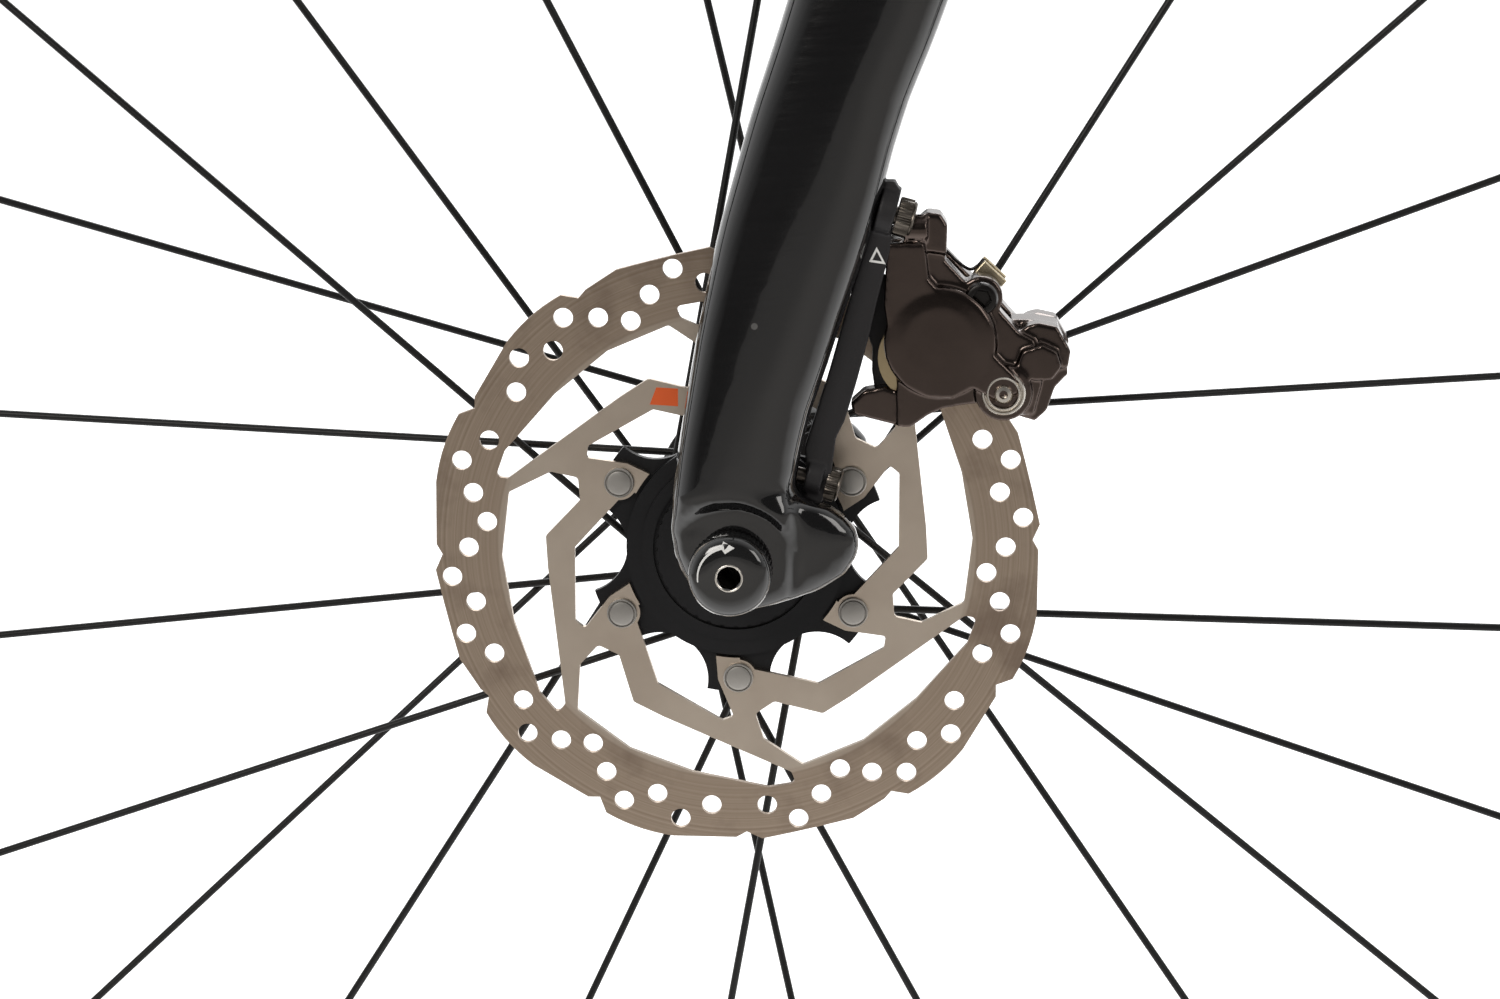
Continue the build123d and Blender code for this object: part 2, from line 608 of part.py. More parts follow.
def blade_section(up, hand):
    """The blade's section at a height: it sweeps back, widens and closes in towards the crown."""
    back = -5.5 + 0.24 * up + 0.00024 * up**2
    half_chord = 14.9 + 0.04 * up - 0.00003 * up**2
    side = 60 - 0.03 * up - 0.00014 * up**2
    half_t = 9.6 + 0.004 * up
    return Plane(origin=blade_point(back, up, hand * side), x_dir=BLADE_BACK, z_dir=BLADE_UP), half_chord, half_t


def fork_leg(hand, mode=Mode.ADD):
    step = (BLADE_HIGH - BLADE_LOW) / (BLADE_SECTIONS - 1)
    ellipse_loft([blade_section(BLADE_LOW + step * i, hand) for i in range(BLADE_SECTIONS)], mode)
    plate(blade_plane(hand * LEG_IN_Y), FORK_TIP, hand * (LEG_OUT_Y - LEG_IN_Y), 2.5, mode)


with BuildPart() as fork:
    for hand in (-1, 1):
        fork_leg(hand)
    with BuildSketch(axis_plane(CROWN_ALONG - CROWN_H)) as crown_low:
        SlotOverall(92, 50)
    with BuildSketch(axis_plane(CROWN_ALONG)) as crown_top:
        SlotOverall(2 * HEAD_R_BOTTOM + 0.5, 2 * HEAD_R_BOTTOM)
    loft([crown_low.sketch, crown_top.sketch])
    disc(axis_plane(CROWN_ALONG), STEERER_BOTTOM_R, BEARING_H + HEAD_GAP + 2)
    with BuildSketch(axis_plane(-HEAD_LEN + BEARING_H + 2)) as steerer_low:
        Circle(STEERER_BOTTOM_R)
    with BuildSketch(axis_plane(-BEARING_H - 12)) as steerer_high:
        Circle(STEERER_TOP_R)
    loft([steerer_low.sketch, steerer_high.sketch])
    disc(axis_plane(-BEARING_H - 12), STEERER_TOP_R, BEARING_H + 12 + STEERER_TOP)
    disc(axis_plane(-BEARING_H - 40), STEERER_TOP_R - 2.5, BEARING_H + 40 + STEERER_TOP, Mode.SUBTRACT)
    ring(FRONT_AXLE, -LEG_OUT_Y - 2, -LEG_IN_Y, 0, AXLE_R, Mode.SUBTRACT)
    ring(FRONT_AXLE, LEG_IN_Y, LEG_OUT_Y + 2, 0, AXLE_R, Mode.SUBTRACT)
save(fork, "fork")

with BuildPart() as front_thru_axle:
    ring(FRONT_AXLE, -LEG_OUT_Y + 1, LEG_OUT_Y, 0, AXLE_R)
    turn(FRONT_AXLE, [
        (LEG_OUT_Y, 0), (LEG_OUT_Y, CAP_R), (LEG_OUT_Y + 4.5, CAP_R),
        (LEG_OUT_Y + 6.4, CAP_R - 2.2), (LEG_OUT_Y + 7.2, 4), (LEG_OUT_Y + 7.2, 0),
    ])
    hex_hole(side_plane(FRONT_AXLE, LEG_OUT_Y + 7.3), 5, 6)
save(front_thru_axle, "front_thru_axle")

REAR_HEAD = DROP_Y + DROP_T
with BuildPart() as rear_thru_axle:
    ring(REAR_AXLE, -REAR_HEAD + 0.5, REAR_HEAD, 0, AXLE_R)
    turn(REAR_AXLE, [
        (REAR_HEAD, 0), (REAR_HEAD, CAP_R), (REAR_HEAD + 4.5, CAP_R),
        (REAR_HEAD + 7, CAP_R - 3), (REAR_HEAD + 7, 0),
    ])
    hex_hole(side_plane(REAR_AXLE, REAR_HEAD + 7.1), 5, 6)
save(rear_thru_axle, "rear_thru_axle")

# ---------------------------------------------------------------- disc calipers
CALIPER_IN_Y, CALIPER_OUT_Y = 21.8, 57.5
SLOT_HALF = 4.7  # half of the slot that the rotor and pads sit in
CALIPER = [(39.4, 82.2), (47.8, 83.5), (47.8, 89), (53.3, 89), (53.3, 77.2), (58.9, 71.5), (66, 72.5), (72.2, 64),
           (80, 62), (85.3, 52), (80, 38), (76, 35.8), (70, 36.5), (62, 40.5), (50, 38), (45, 34.4),
           (33, 36), (30.5, 41), (40.5, 42), (37, 66)]
MOUNT = [(36.9, 96.4), (41.5, 95.6), (39.5, 80), (33.9, 56.7), (28.3, 36.7), (25, 23.3), (20.5, 15),
         (17.5, 20), (20, 34), (30, 70)]
PISTON_AT = (47.5, 52.0)
PISTON_R = 11.0
PAD = [(38, 48), (40.5, 60), (45.5, 65.3), (55, 57), (63, 46.5), (57, 41), (47, 36.5)]
PAD_GAP, PAD_T, PAD_BACK_T = 0.45, 1.5, 1.7  # from the rotor at rest, lining, backing plate
PISTON_REACH = 7.0  # how far a piston stands in its bore
PIN_AT, NIPPLE_AT = (62.5, 67.8), (68.3, 43.9)
PIN_R, NIPPLE_R = 3.9, 4.6


REAR_CALIPER_TURN = 112.0  # the rear caliper sits this far round its axle from the front one's place


def rear_frame(y):
    angle = math.radians(REAR_CALIPER_TURN)
    return Plane(origin=(REAR_AXLE.X, y, REAR_AXLE.Z), x_dir=(-math.cos(angle), 0, math.sin(angle)), z_dir=LEFT)


def at(frame, spot, y):
    return frame(y).from_local_coords(Vector(spot[0], spot[1], 0))


def caliper(frame, inner_y, outer_y, rotor_y):
    """Both halves of the body, joined past the rotor's edge, with bores for the pistons and screws."""
    plate(frame(inner_y), CALIPER, outer_y - inner_y, 1.2)
    disc(frame(rotor_y - SLOT_HALF), ROTOR_R + 2.5, 2 * SLOT_HALF, Mode.SUBTRACT)
    reach = SLOT_HALF + PISTON_REACH + 1
    bore_start, bore_end = at(frame, PISTON_AT, rotor_y - reach), at(frame, PISTON_AT, rotor_y + reach)
    bar(bore_start, bore_end, PISTON_R + RUN_GAP, Mode.SUBTRACT)
    bar(at(frame, PIN_AT, outer_y - 6), at(frame, PIN_AT, outer_y), PIN_R, Mode.SUBTRACT)
    bar(at(frame, NIPPLE_AT, outer_y - 6), at(frame, NIPPLE_AT, outer_y), NIPPLE_R, Mode.SUBTRACT)


def caliper_screws(frame, outer_y):
    """The pad pin and the bleed nipple, seated in the outer face."""
    socket_bolt(at(frame, PIN_AT, outer_y + 0.8), at(frame, PIN_AT, outer_y - 6), PIN_R, 5, 2, 4)
    bar(at(frame, NIPPLE_AT, outer_y - 6), at(frame, NIPPLE_AT, outer_y + 1), NIPPLE_R)
    bar(at(frame, NIPPLE_AT, outer_y + 1), at(frame, NIPPLE_AT, outer_y + 3), 2.6)
    bar(at(frame, NIPPLE_AT, outer_y + 1), at(frame, NIPPLE_AT, outer_y + 3), 1, Mode.SUBTRACT)


def pad(frame, rotor_y, hand):
    """A brake pad and its piston: lining towards the rotor, backing plate, piston."""
    face = rotor_y + hand * (ROTOR_T / 2 + PAD_GAP)
    plate(frame(face), PAD, hand * (PAD_T + PAD_BACK_T), 2)
    back, piston_end = face + hand * (PAD_T + PAD_BACK_T), rotor_y + hand * (SLOT_HALF + PISTON_REACH)
    bar(at(frame, PISTON_AT, back), at(frame, PISTON_AT, piston_end), PISTON_R)


MOUNT_IN_Y, MOUNT_OUT_Y = 50.5, 57.0
MOUNT_BOLT_Y = (MOUNT_IN_Y + MOUNT_OUT_Y) / 2
MOUNT_LEAN = math.radians(15)
# each bolt's head face, length, head radius and head height
MOUNT_BOLTS = (((45.6, 87.4), 20, 4.9, 4.4), ((27.2, 19.2), 9, 4.5, 3.8))


def mount_bolt(spot, length, head_r, head_len):
    back, up = spot
    head = blade_point(back, up, MOUNT_BOLT_Y)
    tip = blade_point(back - length * math.cos(MOUNT_LEAN), up + length * math.sin(MOUNT_LEAN), MOUNT_BOLT_Y)
    socket_bolt(head, tip, head_r, head_len, 2.5, 4)


with BuildPart() as front_caliper:
    caliper(blade_plane, CALIPER_IN_Y, CALIPER_OUT_Y, FRONT_ROTOR_Y)
    for spot, length, head_r, head_len in MOUNT_BOLTS:
        mount_bolt(spot, length, head_r + 0.2, head_len)
    fork_leg(1, Mode.SUBTRACT)
    for spot, length, head_r, head_len in MOUNT_BOLTS:
        face = blade_point(spot[0], spot[1], MOUNT_BOLT_Y)
        along = BLADE_BACK * -math.cos(MOUNT_LEAN) + BLADE_UP * math.sin(MOUNT_LEAN)
        bar(face - along * 2, face + along * length, head_r + 0.2, Mode.SUBTRACT)
save(front_caliper, "front_caliper")

with BuildPart() as caliper_bolts:
    for spot, length, head_r, head_len in MOUNT_BOLTS:
        mount_bolt(spot, length, head_r, head_len)
    fork_leg(1, Mode.SUBTRACT)
    caliper_screws(blade_plane, CALIPER_OUT_Y)
save(caliper_bolts, "caliper_bolts")

with BuildPart() as caliper_mount:
    plate(blade_plane(MOUNT_IN_Y), MOUNT, MOUNT_OUT_Y - MOUNT_IN_Y, 1.5)
    fork_leg(1, Mode.SUBTRACT)
    add(front_caliper.part, mode=Mode.SUBTRACT)
    add(caliper_bolts.part, mode=Mode.SUBTRACT)
save(caliper_mount, "caliper_mount")

REAR_CALIPER_IN_Y, REAR_CALIPER_OUT_Y = REAR_ROTOR_Y - 17.7, DROP_Y - 0.5
with BuildPart() as rear_caliper:
    foot_low = stay_back(68, CS_RUN - 84, 6, 1)
    foot_high = Vector(foot_low.X - 5, 62, foot_low.Z + 26)
    bar(foot_low, foot_high, 7)
    caliper(rear_frame, REAR_CALIPER_IN_Y, REAR_CALIPER_OUT_Y, REAR_ROTOR_Y)
    caliper_screws(rear_frame, REAR_CALIPER_OUT_Y)
    for hand in (-1, 1):
        chainstay(hand, Mode.SUBTRACT)
    disc(rear_frame(REAR_ROTOR_Y - SLOT_HALF), ROTOR_R + 2.5, 2 * SLOT_HALF, Mode.SUBTRACT)
save(rear_caliper, "rear_caliper")

CALIPER_FRAMES = (("front", blade_plane, FRONT_ROTOR_Y), ("rear", rear_frame, REAR_ROTOR_Y))
for end, frame, rotor_y in CALIPER_FRAMES:
    for side, hand in (("outer", 1), ("inner", -1)):
        with BuildPart() as pad_part:
            pad(frame, rotor_y, hand)
        save(pad_part, f"{end}_pad_{side}")

# ---------------------------------------------------------------- stem and handlebar
STEM_LOW, STEM_HIGH = 12.0, 54.0
BAR_R, BAR_CLAMP_R, TAPE_T = 11.9, 15.9, 2.5
BAR_CENTRE = steer((STEM_LOW + STEM_HIGH) / 2 + 8, STEM_LEN)
HALF_BAR = BAR_WIDTH / 2

with BuildPart() as stem_spacers:
    disc(axis_plane(0.6), 17.5, STEM_LOW - 0.6)
    disc(axis_plane(0.6), STEERER_TOP_R, STEM_LOW, Mode.SUBTRACT)
    disc(axis_plane(STEM_HIGH), 17.5, 4)
    hex_hole(axis_plane(STEM_HIGH + 4), 5, 3)

with BuildPart() as stem:
    bar(steer(STEM_LOW), steer(STEM_HIGH), 18.5)
    reach_start = steer((STEM_LOW + STEM_HIGH) / 2)
    ellipse_loft([
        (plane_along(reach_start, BAR_CENTRE), 17.5, 16.5),
        (plane_along(reach_start, BAR_CENTRE).offset(STEM_LEN * 0.5), 16, 14.5),
        (plane_along(reach_start, BAR_CENTRE).offset(STEM_LEN), 18, 16),
    ])
    bar(BAR_CENTRE - LEFT * 21, BAR_CENTRE + LEFT * 21, BAR_CLAMP_R + 4)
    clamp_out = (BAR_CENTRE - reach_start).normalized()
    clamp_up = Vector(-clamp_out.Z, 0, clamp_out.X)
    for side in (-14, 14):
        for height in (-15.5, 15.5):
            spot = BAR_CENTRE + LEFT * side + clamp_up * height
            bar(spot, spot + clamp_out * 16, 4.5)
    disc(axis_plane(STEM_LOW - 1), STEERER_TOP_R, STEM_HIGH - STEM_LOW + 1, Mode.SUBTRACT)
    bar(BAR_CENTRE - LEFT * 22, BAR_CENTRE + LEFT * 22, BAR_CLAMP_R, Mode.SUBTRACT)
save_solids([stem.part.solid(), *stem_spacers.part.solids()], "stem")


def bar_point(forward, side, up):
    return BAR_CENTRE + Vector(forward, side, up)


def drop_points(hand):
    """The bar's corners on one side: end of the top, front of the ramp, bottom of the hook, bar end."""
    side = hand * HALF_BAR
    return [
        bar_point(0, side - hand * 3, 0), bar_point(BAR_REACH + 4, side + hand, -4),
        bar_point(BAR_REACH - 10, side + hand * 3, -BAR_DROP), bar_point(-38, side + hand * 6, -BAR_DROP - 3),
    ]


DROP_RADII = [32, 40, 55]


def swept(points, radii, radius, bore=0.0, mode=Mode.ADD):
    """A round bar, or a round tube, along straight runs joined by tangent arcs."""
    with BuildLine() as path:
        FilletPolyline(*points, radius=radii)
    line = path.line
    with BuildSketch(Plane(origin=line @ 0, z_dir=line % 0)) as section:
        Circle(radius)
        if bore:
            Circle(bore, mode=Mode.SUBTRACT)
    sweep(section.sketch, path=line, mode=mode)


with BuildPart() as handlebar:
    left, right = drop_points(1), drop_points(-1)
    swept(left[::-1] + right, DROP_RADII[::-1] + DROP_RADII, BAR_R)
    turn(BAR_CENTRE, [(-48, 0), (-48, BAR_R), (-28, BAR_CLAMP_R), (28, BAR_CLAMP_R), (48, BAR_R), (48, 0)])
save(handlebar, "handlebar")

TAPE_FROM = 72.0
with BuildPart() as bar_tape:
    for hand in (-1, 1):
        points = [bar_point(0, hand * TAPE_FROM, 0)] + drop_points(hand)
        swept(points, DROP_RADII, BAR_R + TAPE_T, BAR_R)
        tip, before = points[-1], points[-2]
        end_dir = (tip - before).normalized()
        bar(tip, tip + end_dir * 3, BAR_R + TAPE_T)
save(bar_tape, "bar_tape")

# ---------------------------------------------------------------- brake levers
PIVOT = (142.0, -8.0)  # lever pivot, forward of and above the bar's centre
PIVOT_R, TONGUE_HALF, CHEEK_T = 2.5, 9.5, 2.5
HOOD = ((58, -2, 16.5, 18), (84, 2, 15.5, 17.5), (112, 6, 15, 19), (138, 12, 14, 23), (152, 22, 11, 15),
        (157, 25, 6, 7))
LEVER = ((142, -25, 13, 5), (148, -42, 9, 4), (151, -70, 7, 3.6), (147, -98, 7, 3.4), (139, -118, 6, 3))


def hood(hand):
    """A moulded hood on the front of the bar, thinned to a tongue where the lever is hinged."""
    y = hand * HALF_BAR
    ellipse_loft([
        (Plane(origin=bar_point(forward, y, up), x_dir=LEFT, z_dir=(1, 0, 0.12)), half_w, half_h)
        for forward, up, half_w, half_h in HOOD
    ])
    swept([bar_point(0, hand * TAPE_FROM, 0)] + drop_points(hand), DROP_RADII, BAR_R + TAPE_T, mode=Mode.SUBTRACT)
    pivot = bar_point(PIVOT[0], y, PIVOT[1])
    for side in (-1, 1):
        bar(pivot + LEFT * side * TONGUE_HALF, pivot + LEFT * side * 30, 13, Mode.SUBTRACT)
    bar(pivot - LEFT * 30, pivot + LEFT * 30, PIVOT_R + RUN_GAP, Mode.SUBTRACT)


def brake_lever(hand):
    """A curved blade hung from two cheeks and a pin through the hood's tongue."""
    y = hand * HALF_BAR
    pivot = bar_point(PIVOT[0], y, PIVOT[1])
    outer = TONGUE_HALF + PIECE_GAP + CHEEK_T
    bar(pivot - LEFT * outer, pivot + LEFT * outer, PIVOT_R)
    for side in (-1, 1):
        cheek = [(-8, 6), (8, 6), (7, -24), (-7, -24)]
        spot = pivot + LEFT * side * (TONGUE_HALF + PIECE_GAP)
        plate(Plane(origin=spot, x_dir=(-1, 0, 0), z_dir=LEFT), cheek, side * CHEEK_T, 4)
    faces = []
    for i, (forward, up, half_w, half_t) in enumerate(LEVER):
        nxt, prev = LEVER[min(i + 1, len(LEVER) - 1)], LEVER[max(i - 1, 0)]
        run = Vector(nxt[0] - prev[0], 0, nxt[1] - prev[1]).normalized()
        faces.append((Plane(origin=bar_point(forward, y, up), x_dir=LEFT, z_dir=run), half_w, half_t))
    ellipse_loft(faces)


PADDLE_AXIS = (136.8, -HALF_BAR - 5)  # forward and side of the paddle's upright pin
PADDLE_LOW, PADDLE_HIGH = -64.0, -44.0  # ends of the paddle's barrel
PADDLE_PIN_R, PADDLE_BARREL_R, PADDLE_LUG_R = 1.0, 2.4, 2.0


def paddle_pin(low, high, radius, mode=Mode.ADD):
    forward, side = PADDLE_AXIS
    bar(bar_point(forward, side, low), bar_point(forward, side, high), radius, mode)


with BuildPart() as lever_hoods:
    for hand in (-1, 1):
        hood(hand)
save(lever_hoods, "lever_hoods")
with BuildPart() as brake_lever_left:
    brake_lever(1)
save(brake_lever_left, "brake_lever_left")
with BuildPart() as brake_lever_right:
    brake_lever(-1)
    low_lug, high_lug = PADDLE_LOW - PADDLE_LUG_R - PIECE_GAP, PADDLE_HIGH + PADDLE_LUG_R + PIECE_GAP
    for up in (low_lug, high_lug):
        lug_end = bar_point(PADDLE_AXIS[0] - PADDLE_PIN_R - PIECE_GAP, PADDLE_AXIS[1], up)
        bar(bar_point(148, PADDLE_AXIS[1], up), lug_end, PADDLE_LUG_R)
    paddle_pin(low_lug, high_lug, PADDLE_PIN_R)
save(brake_lever_right, "brake_lever_right")

with BuildPart() as shift_paddle:
    paddle_at = Plane(origin=bar_point(138, -HALF_BAR + 4, -58), x_dir=LEFT, z_dir=(1, 0, 0))
    with BuildSketch(paddle_at) as paddle_face:
        with BuildLine():
            FilletPolyline((-8, 14), (6, 14), (16, -4), (16, -18), (2, -20), (-8, -2), radius=4, close=True)
        make_face()
    extrude(paddle_face.sketch, amount=-2.4)
    paddle_pin(PADDLE_LOW, PADDLE_HIGH, PADDLE_BARREL_R)
    paddle_pin(PADDLE_LOW, PADDLE_HIGH, PADDLE_PIN_R + RUN_GAP, Mode.SUBTRACT)
save(shift_paddle, "shift_paddle")

# ---------------------------------------------------------------- seat
SADDLE_HEIGHT = 722.0  # bottom bracket to saddle top, along the seat tube
POST_IN = 130.0  # seatpost length inside the seat tube
RAIL_R, RAIL_HALF = 3.5, 22.0
SADDLE_TOP = BB + SEAT_UP * SADDLE_HEIGHT
POST_TOP = BB + SEAT_UP * (SADDLE_HEIGHT - 64)
RAIL_Z = SADDLE_TOP.Z - 45
SADDLE = ((132, -14, 11, 7), (105, -11, 18, 10), (45, -11, 24, 13), (-25, -12, 42, 14), (-85, -9, 69, 15),
          (-122, -5, 68, 12), (-138, -5, 48, 7))


def saddle_point(forward, side, up):
    return Vector(SADDLE_TOP.X + forward, side, SADDLE_TOP.Z + up)


with BuildPart() as saddle_cover:
    ellipse_loft([
        (Plane(origin=saddle_point(forward, 0, up), x_dir=LEFT, z_dir=(-1, 0, 0)), half_w, half_h)
        for forward, up, half_w, half_h in SADDLE
    ])
save(saddle_cover, "saddle_cover")

with BuildPart() as saddle_rails:
    for hand in (-1, 1):
        rail = RAIL_Z - SADDLE_TOP.Z
        points = [saddle_point(108, hand * 9, -14), saddle_point(50, hand * RAIL_HALF, rail),
                  saddle_point(-50, hand * RAIL_HALF, rail), saddle_point(-112, hand * 36, -12)]
        swept(points, [40, 40], RAIL_R)
    add(saddle_cover.part, mode=Mode.SUBTRACT)
save(saddle_rails, "saddle_rails")

with BuildPart() as seatpost:
    bar(BB + SEAT_UP * (SEAT_TUBE_LEN - POST_IN), POST_TOP, SEATPOST_R)
    bar(POST_TOP - SEAT_UP * 6, Vector(SADDLE_TOP.X, 0, RAIL_Z - 4), 11)
    clamp = Vector(SADDLE_TOP.X, 0, RAIL_Z)
    with BuildSketch(Plane(origin=clamp - LEFT * (RAIL_HALF + 6), x_dir=(-1, 0, 0), z_dir=LEFT)) as clamp_face:
        RectangleRounded(42, 16, 5)
    extrude(clamp_face.sketch, amount=2 * RAIL_HALF + 12)
    for hand in (-1, 1):
        line = clamp + LEFT * hand * RAIL_HALF
        bar(line - Vector(60, 0, 0), line + Vector(60, 0, 0), RAIL_R, Mode.SUBTRACT)
    bar(BB + SEAT_UP * (SEAT_TUBE_LEN - POST_IN), POST_TOP - SEAT_UP * 12, SEATPOST_R - 2.2, Mode.SUBTRACT)
save(seatpost, "seatpost")

# ---------------------------------------------------------------- toothed wheels
TOOTH_H, TOOTH_TIP, SEAT_GAP = 2.9, 0.9, 0.12  # above the pitch circle, half tip width, roller clearance
SEAT_HALF = math.radians(62)


def pitch_radius(teeth):
    return PITCH / (2 * math.sin(math.pi / teeth))


def tooth_outline(teeth, first_gap):
    """Roller seats on the pitch circle with a tooth between each pair; first_gap is in radians."""
    radius, seat = pitch_radius(teeth), ROLLER_R + SEAT_GAP
    tip_r, step = radius + TOOTH_H, 2 * math.pi / teeth
    for k in range(teeth):
        angle = first_gap + k * step
        out = Vector(math.cos(angle), math.sin(angle))
        across = Vector(-math.sin(angle), math.cos(angle))
        middle = out * radius
        low = middle - out * seat
        start = middle - out * seat * math.cos(SEAT_HALF) - across * seat * math.sin(SEAT_HALF)
        end = middle - out * seat * math.cos(SEAT_HALF) + across * seat * math.sin(SEAT_HALF)
        tip_turn = step / 2 - TOOTH_TIP / tip_r
        tip_in = Vector(math.cos(angle + tip_turn), math.sin(angle + tip_turn)) * tip_r
        tip_out = Vector(math.cos(angle + step - tip_turn), math.sin(angle + step - tip_turn)) * tip_r
        next_out = Vector(math.cos(angle + step), math.sin(angle + step))
        next_across = Vector(-math.sin(angle + step), math.cos(angle + step))
        next_start = next_out * (radius - seat * math.cos(SEAT_HALF)) - next_across * seat * math.sin(SEAT_HALF)
        ThreePointArc(start, low, end)
        Line(end, tip_in)
        Line(tip_in, tip_out)
        Line(tip_out, next_start)


def right_plane(centre, y):
    """Upright plane seen from the right: first axis forward, second up, normal to the right."""
    return Plane(origin=(centre.X, y, centre.Z), x_dir=(1, 0, 0), z_dir=(0, -1, 0))


def sprocket(centre, y, teeth, thickness, bore, first_gap=0.0):
    """A toothed disc in the upright plane at y, its first axis forward."""
    with BuildSketch(right_plane(centre, y + thickness / 2)) as face:
        with BuildLine():
            tooth_outline(teeth, first_gap)
        make_face()
        Circle(bore, mode=Mode.SUBTRACT)
    extrude(face.sketch, amount=thickness)


# ---------------------------------------------------------------- chain line
GUIDE_FORWARD, GUIDE_DOWN = 12.0, 76.0  # guide pulley from the rear axle
CAGE_LEN = 56.0
GUIDE = Vector(REAR_AXLE.X + GUIDE_FORWARD, 0, AXLE_Z - GUIDE_DOWN)
CHAIN_TEETH = COGS[CHAIN_COG]


def chain_wheels(cage_angle):
    """Each wheel that the chain goes round, in order: centre, teeth, and 1 for clockwise."""
    tension = GUIDE + Vector(math.cos(cage_angle), 0, math.sin(cage_angle)) * CAGE_LEN
    return [(BB, RING_T, 1), (tension, PULLEY_T, 1), (GUIDE, PULLEY_T, -1), (REAR_AXLE, CHAIN_TEETH, 1)]


def tangent(first, second):
    """The straight run from one wheel to the next, as its two touching points."""
    (a, teeth_a, sign_a), (b, teeth_b, sign_b) = first, second
    offset_a, offset_b = sign_a * pitch_radius(teeth_a), sign_b * pitch_radius(teeth_b)
    gap = b - a
    angle = math.atan2(gap.Z, gap.X) - math.asin((offset_a - offset_b) / gap.length)
    normal = Vector(-math.sin(angle), 0, math.cos(angle))
    return a + normal * offset_a, b + normal * offset_b


def chain_route(cage_angle):
    """The route as arcs and straight runs, each with its length in links."""
    wheels = chain_wheels(cage_angle)
    runs = [tangent(wheels[i], wheels[(i + 1) % 4]) for i in range(4)]
    route = []
    for i, (centre, teeth, sign) in enumerate(wheels):
        enter, leave = runs[i - 1][1] - centre, runs[i][0] - centre
        start, stop = math.atan2(enter.Z, enter.X), math.atan2(leave.Z, leave.X)
        sweep_angle = (sign * (start - stop)) % (2 * math.pi)
        route.append(("arc", centre, teeth, sign, start, sweep_angle * teeth / (2 * math.pi)))
        route.append(("run", runs[i][0], runs[i][1], None, None, (runs[i][1] - runs[i][0]).length / PITCH))
    return route


def chain_links(cage_angle):
    return sum(piece[-1] for piece in chain_route(cage_angle))


def settle_cage():
    """The cage angle at which the chain is a whole even number of links."""
    low, high = math.radians(-112), math.radians(-60)
    target = 2 * round(chain_links(math.radians(-88)) / 2)
    falling = chain_links(low) > chain_links(high)
    for _ in range(60):
        middle = (low + high) / 2
        if (chain_links(middle) > target) == falling:
            low = middle
        else:
            high = middle
    return (low + high) / 2, target


CAGE_ANGLE, LINKS = settle_cage()
TENSION = chain_wheels(CAGE_ANGLE)[1][0]
ROUTE = chain_route(CAGE_ANGLE)
print(f"cage angle {math.degrees(CAGE_ANGLE):.1f}, links {LINKS}, reached {chain_links(CAGE_ANGLE):.4f}")


def roller_at(count):
    """Where the roller is that stands count links along the route."""
    for kind, a, b, sign, start, length in ROUTE:
        if count <= length + 1e-9:
            if kind == "run":
                return a + (b - a) * (count / length)
            angle = start - sign * count * 2 * math.pi / b
            return a + Vector(math.cos(angle), 0, math.sin(angle)) * pitch_radius(b)
        count -= length
    return roller_at(count)


def seat_phase(wheel):
    """The angle of one roller seat on the given wheel of the route, from forward towards up."""
    begun = sum(piece[-1] for piece in ROUTE[:2 * wheel])
    kind, centre, teeth, sign, start, length = ROUTE[2 * wheel]
    first = math.ceil(begun) - begun
    return start - sign * first * 2 * math.pi / teeth


# ---------------------------------------------------------------- crankset
RING_T_MM = 1.9
RING_INNER_R = 76.0
ARM_FACE = 64.0  # inner face of the arms at the spindle
ARM_T, ARM_HALF = 13.0, 14.0
ARM_SHY = 0.6  # the arm stands this far inside the faces of its two eyes
PEDAL_AXLE_R, PEDAL_FACE = 4.6, 80.0
RING_BOLT_R, RING_STUD_R = 76.0, 4.0

with BuildPart() as chainring:
    sprocket(BB, CHAIN_Y, RING_T, RING_T_MM, RING_INNER_R, seat_phase(0))
    with BuildSketch(right_plane(BB, CHAIN_Y + RING_T_MM / 2)) as tabs:
        with PolarLocations(RING_BOLT_R + 1, 5, start_angle=54):
            Circle(8)
    extrude(tabs.sketch, amount=RING_T_MM)
    with BuildSketch(right_plane(BB, CHAIN_Y + RING_T_MM / 2)) as bolt_holes:
        with PolarLocations(RING_BOLT_R, 5, start_angle=54):
            Circle(RING_STUD_R)
    extrude(bolt_holes.sketch, amount=RING_T_MM, mode=Mode.SUBTRACT)
save(chainring, "chainring")

SPIDER_Y = CHAIN_Y - RING_T_MM / 2
PEDAL_REACH = 64.0  # pedal axle beyond the arm


def arm_plane(point, side, down):
    return Plane(origin=point + LEFT * side, x_dir=(1, 0, 0), z_dir=down)


def arm_body(hand):
    """A crank arm from the spindle to the pedal eye, the right one down and the left one up."""
    down = Vector(0, 0, hand)
    inner, outer = hand * ARM_FACE, hand * (ARM_FACE + ARM_T)
    eye = BB + down * CRANK_LEN
    ellipse_loft([
        (arm_plane(BB + down * 8, hand * (ARM_FACE + ARM_T / 2), down), 17, ARM_T / 2 - ARM_SHY),
        (arm_plane(BB + down * 90, hand * (ARM_FACE + ARM_T / 2 + 2), down), 13.5, ARM_T / 2 - ARM_SHY),
        (arm_plane(eye, hand * (PEDAL_FACE - ARM_T / 2), down), 12.5, ARM_T / 2 - ARM_SHY),
    ])
    bar(BB + LEFT * inner, BB + LEFT * outer, 20)
    bar(eye + LEFT * hand * (PEDAL_FACE - ARM_T), eye + LEFT * hand * PEDAL_FACE, ARM_HALF)
    bar(eye + LEFT * hand * (PEDAL_FACE - ARM_T), eye + LEFT * hand * PEDAL_FACE, PEDAL_AXLE_R, Mode.SUBTRACT)


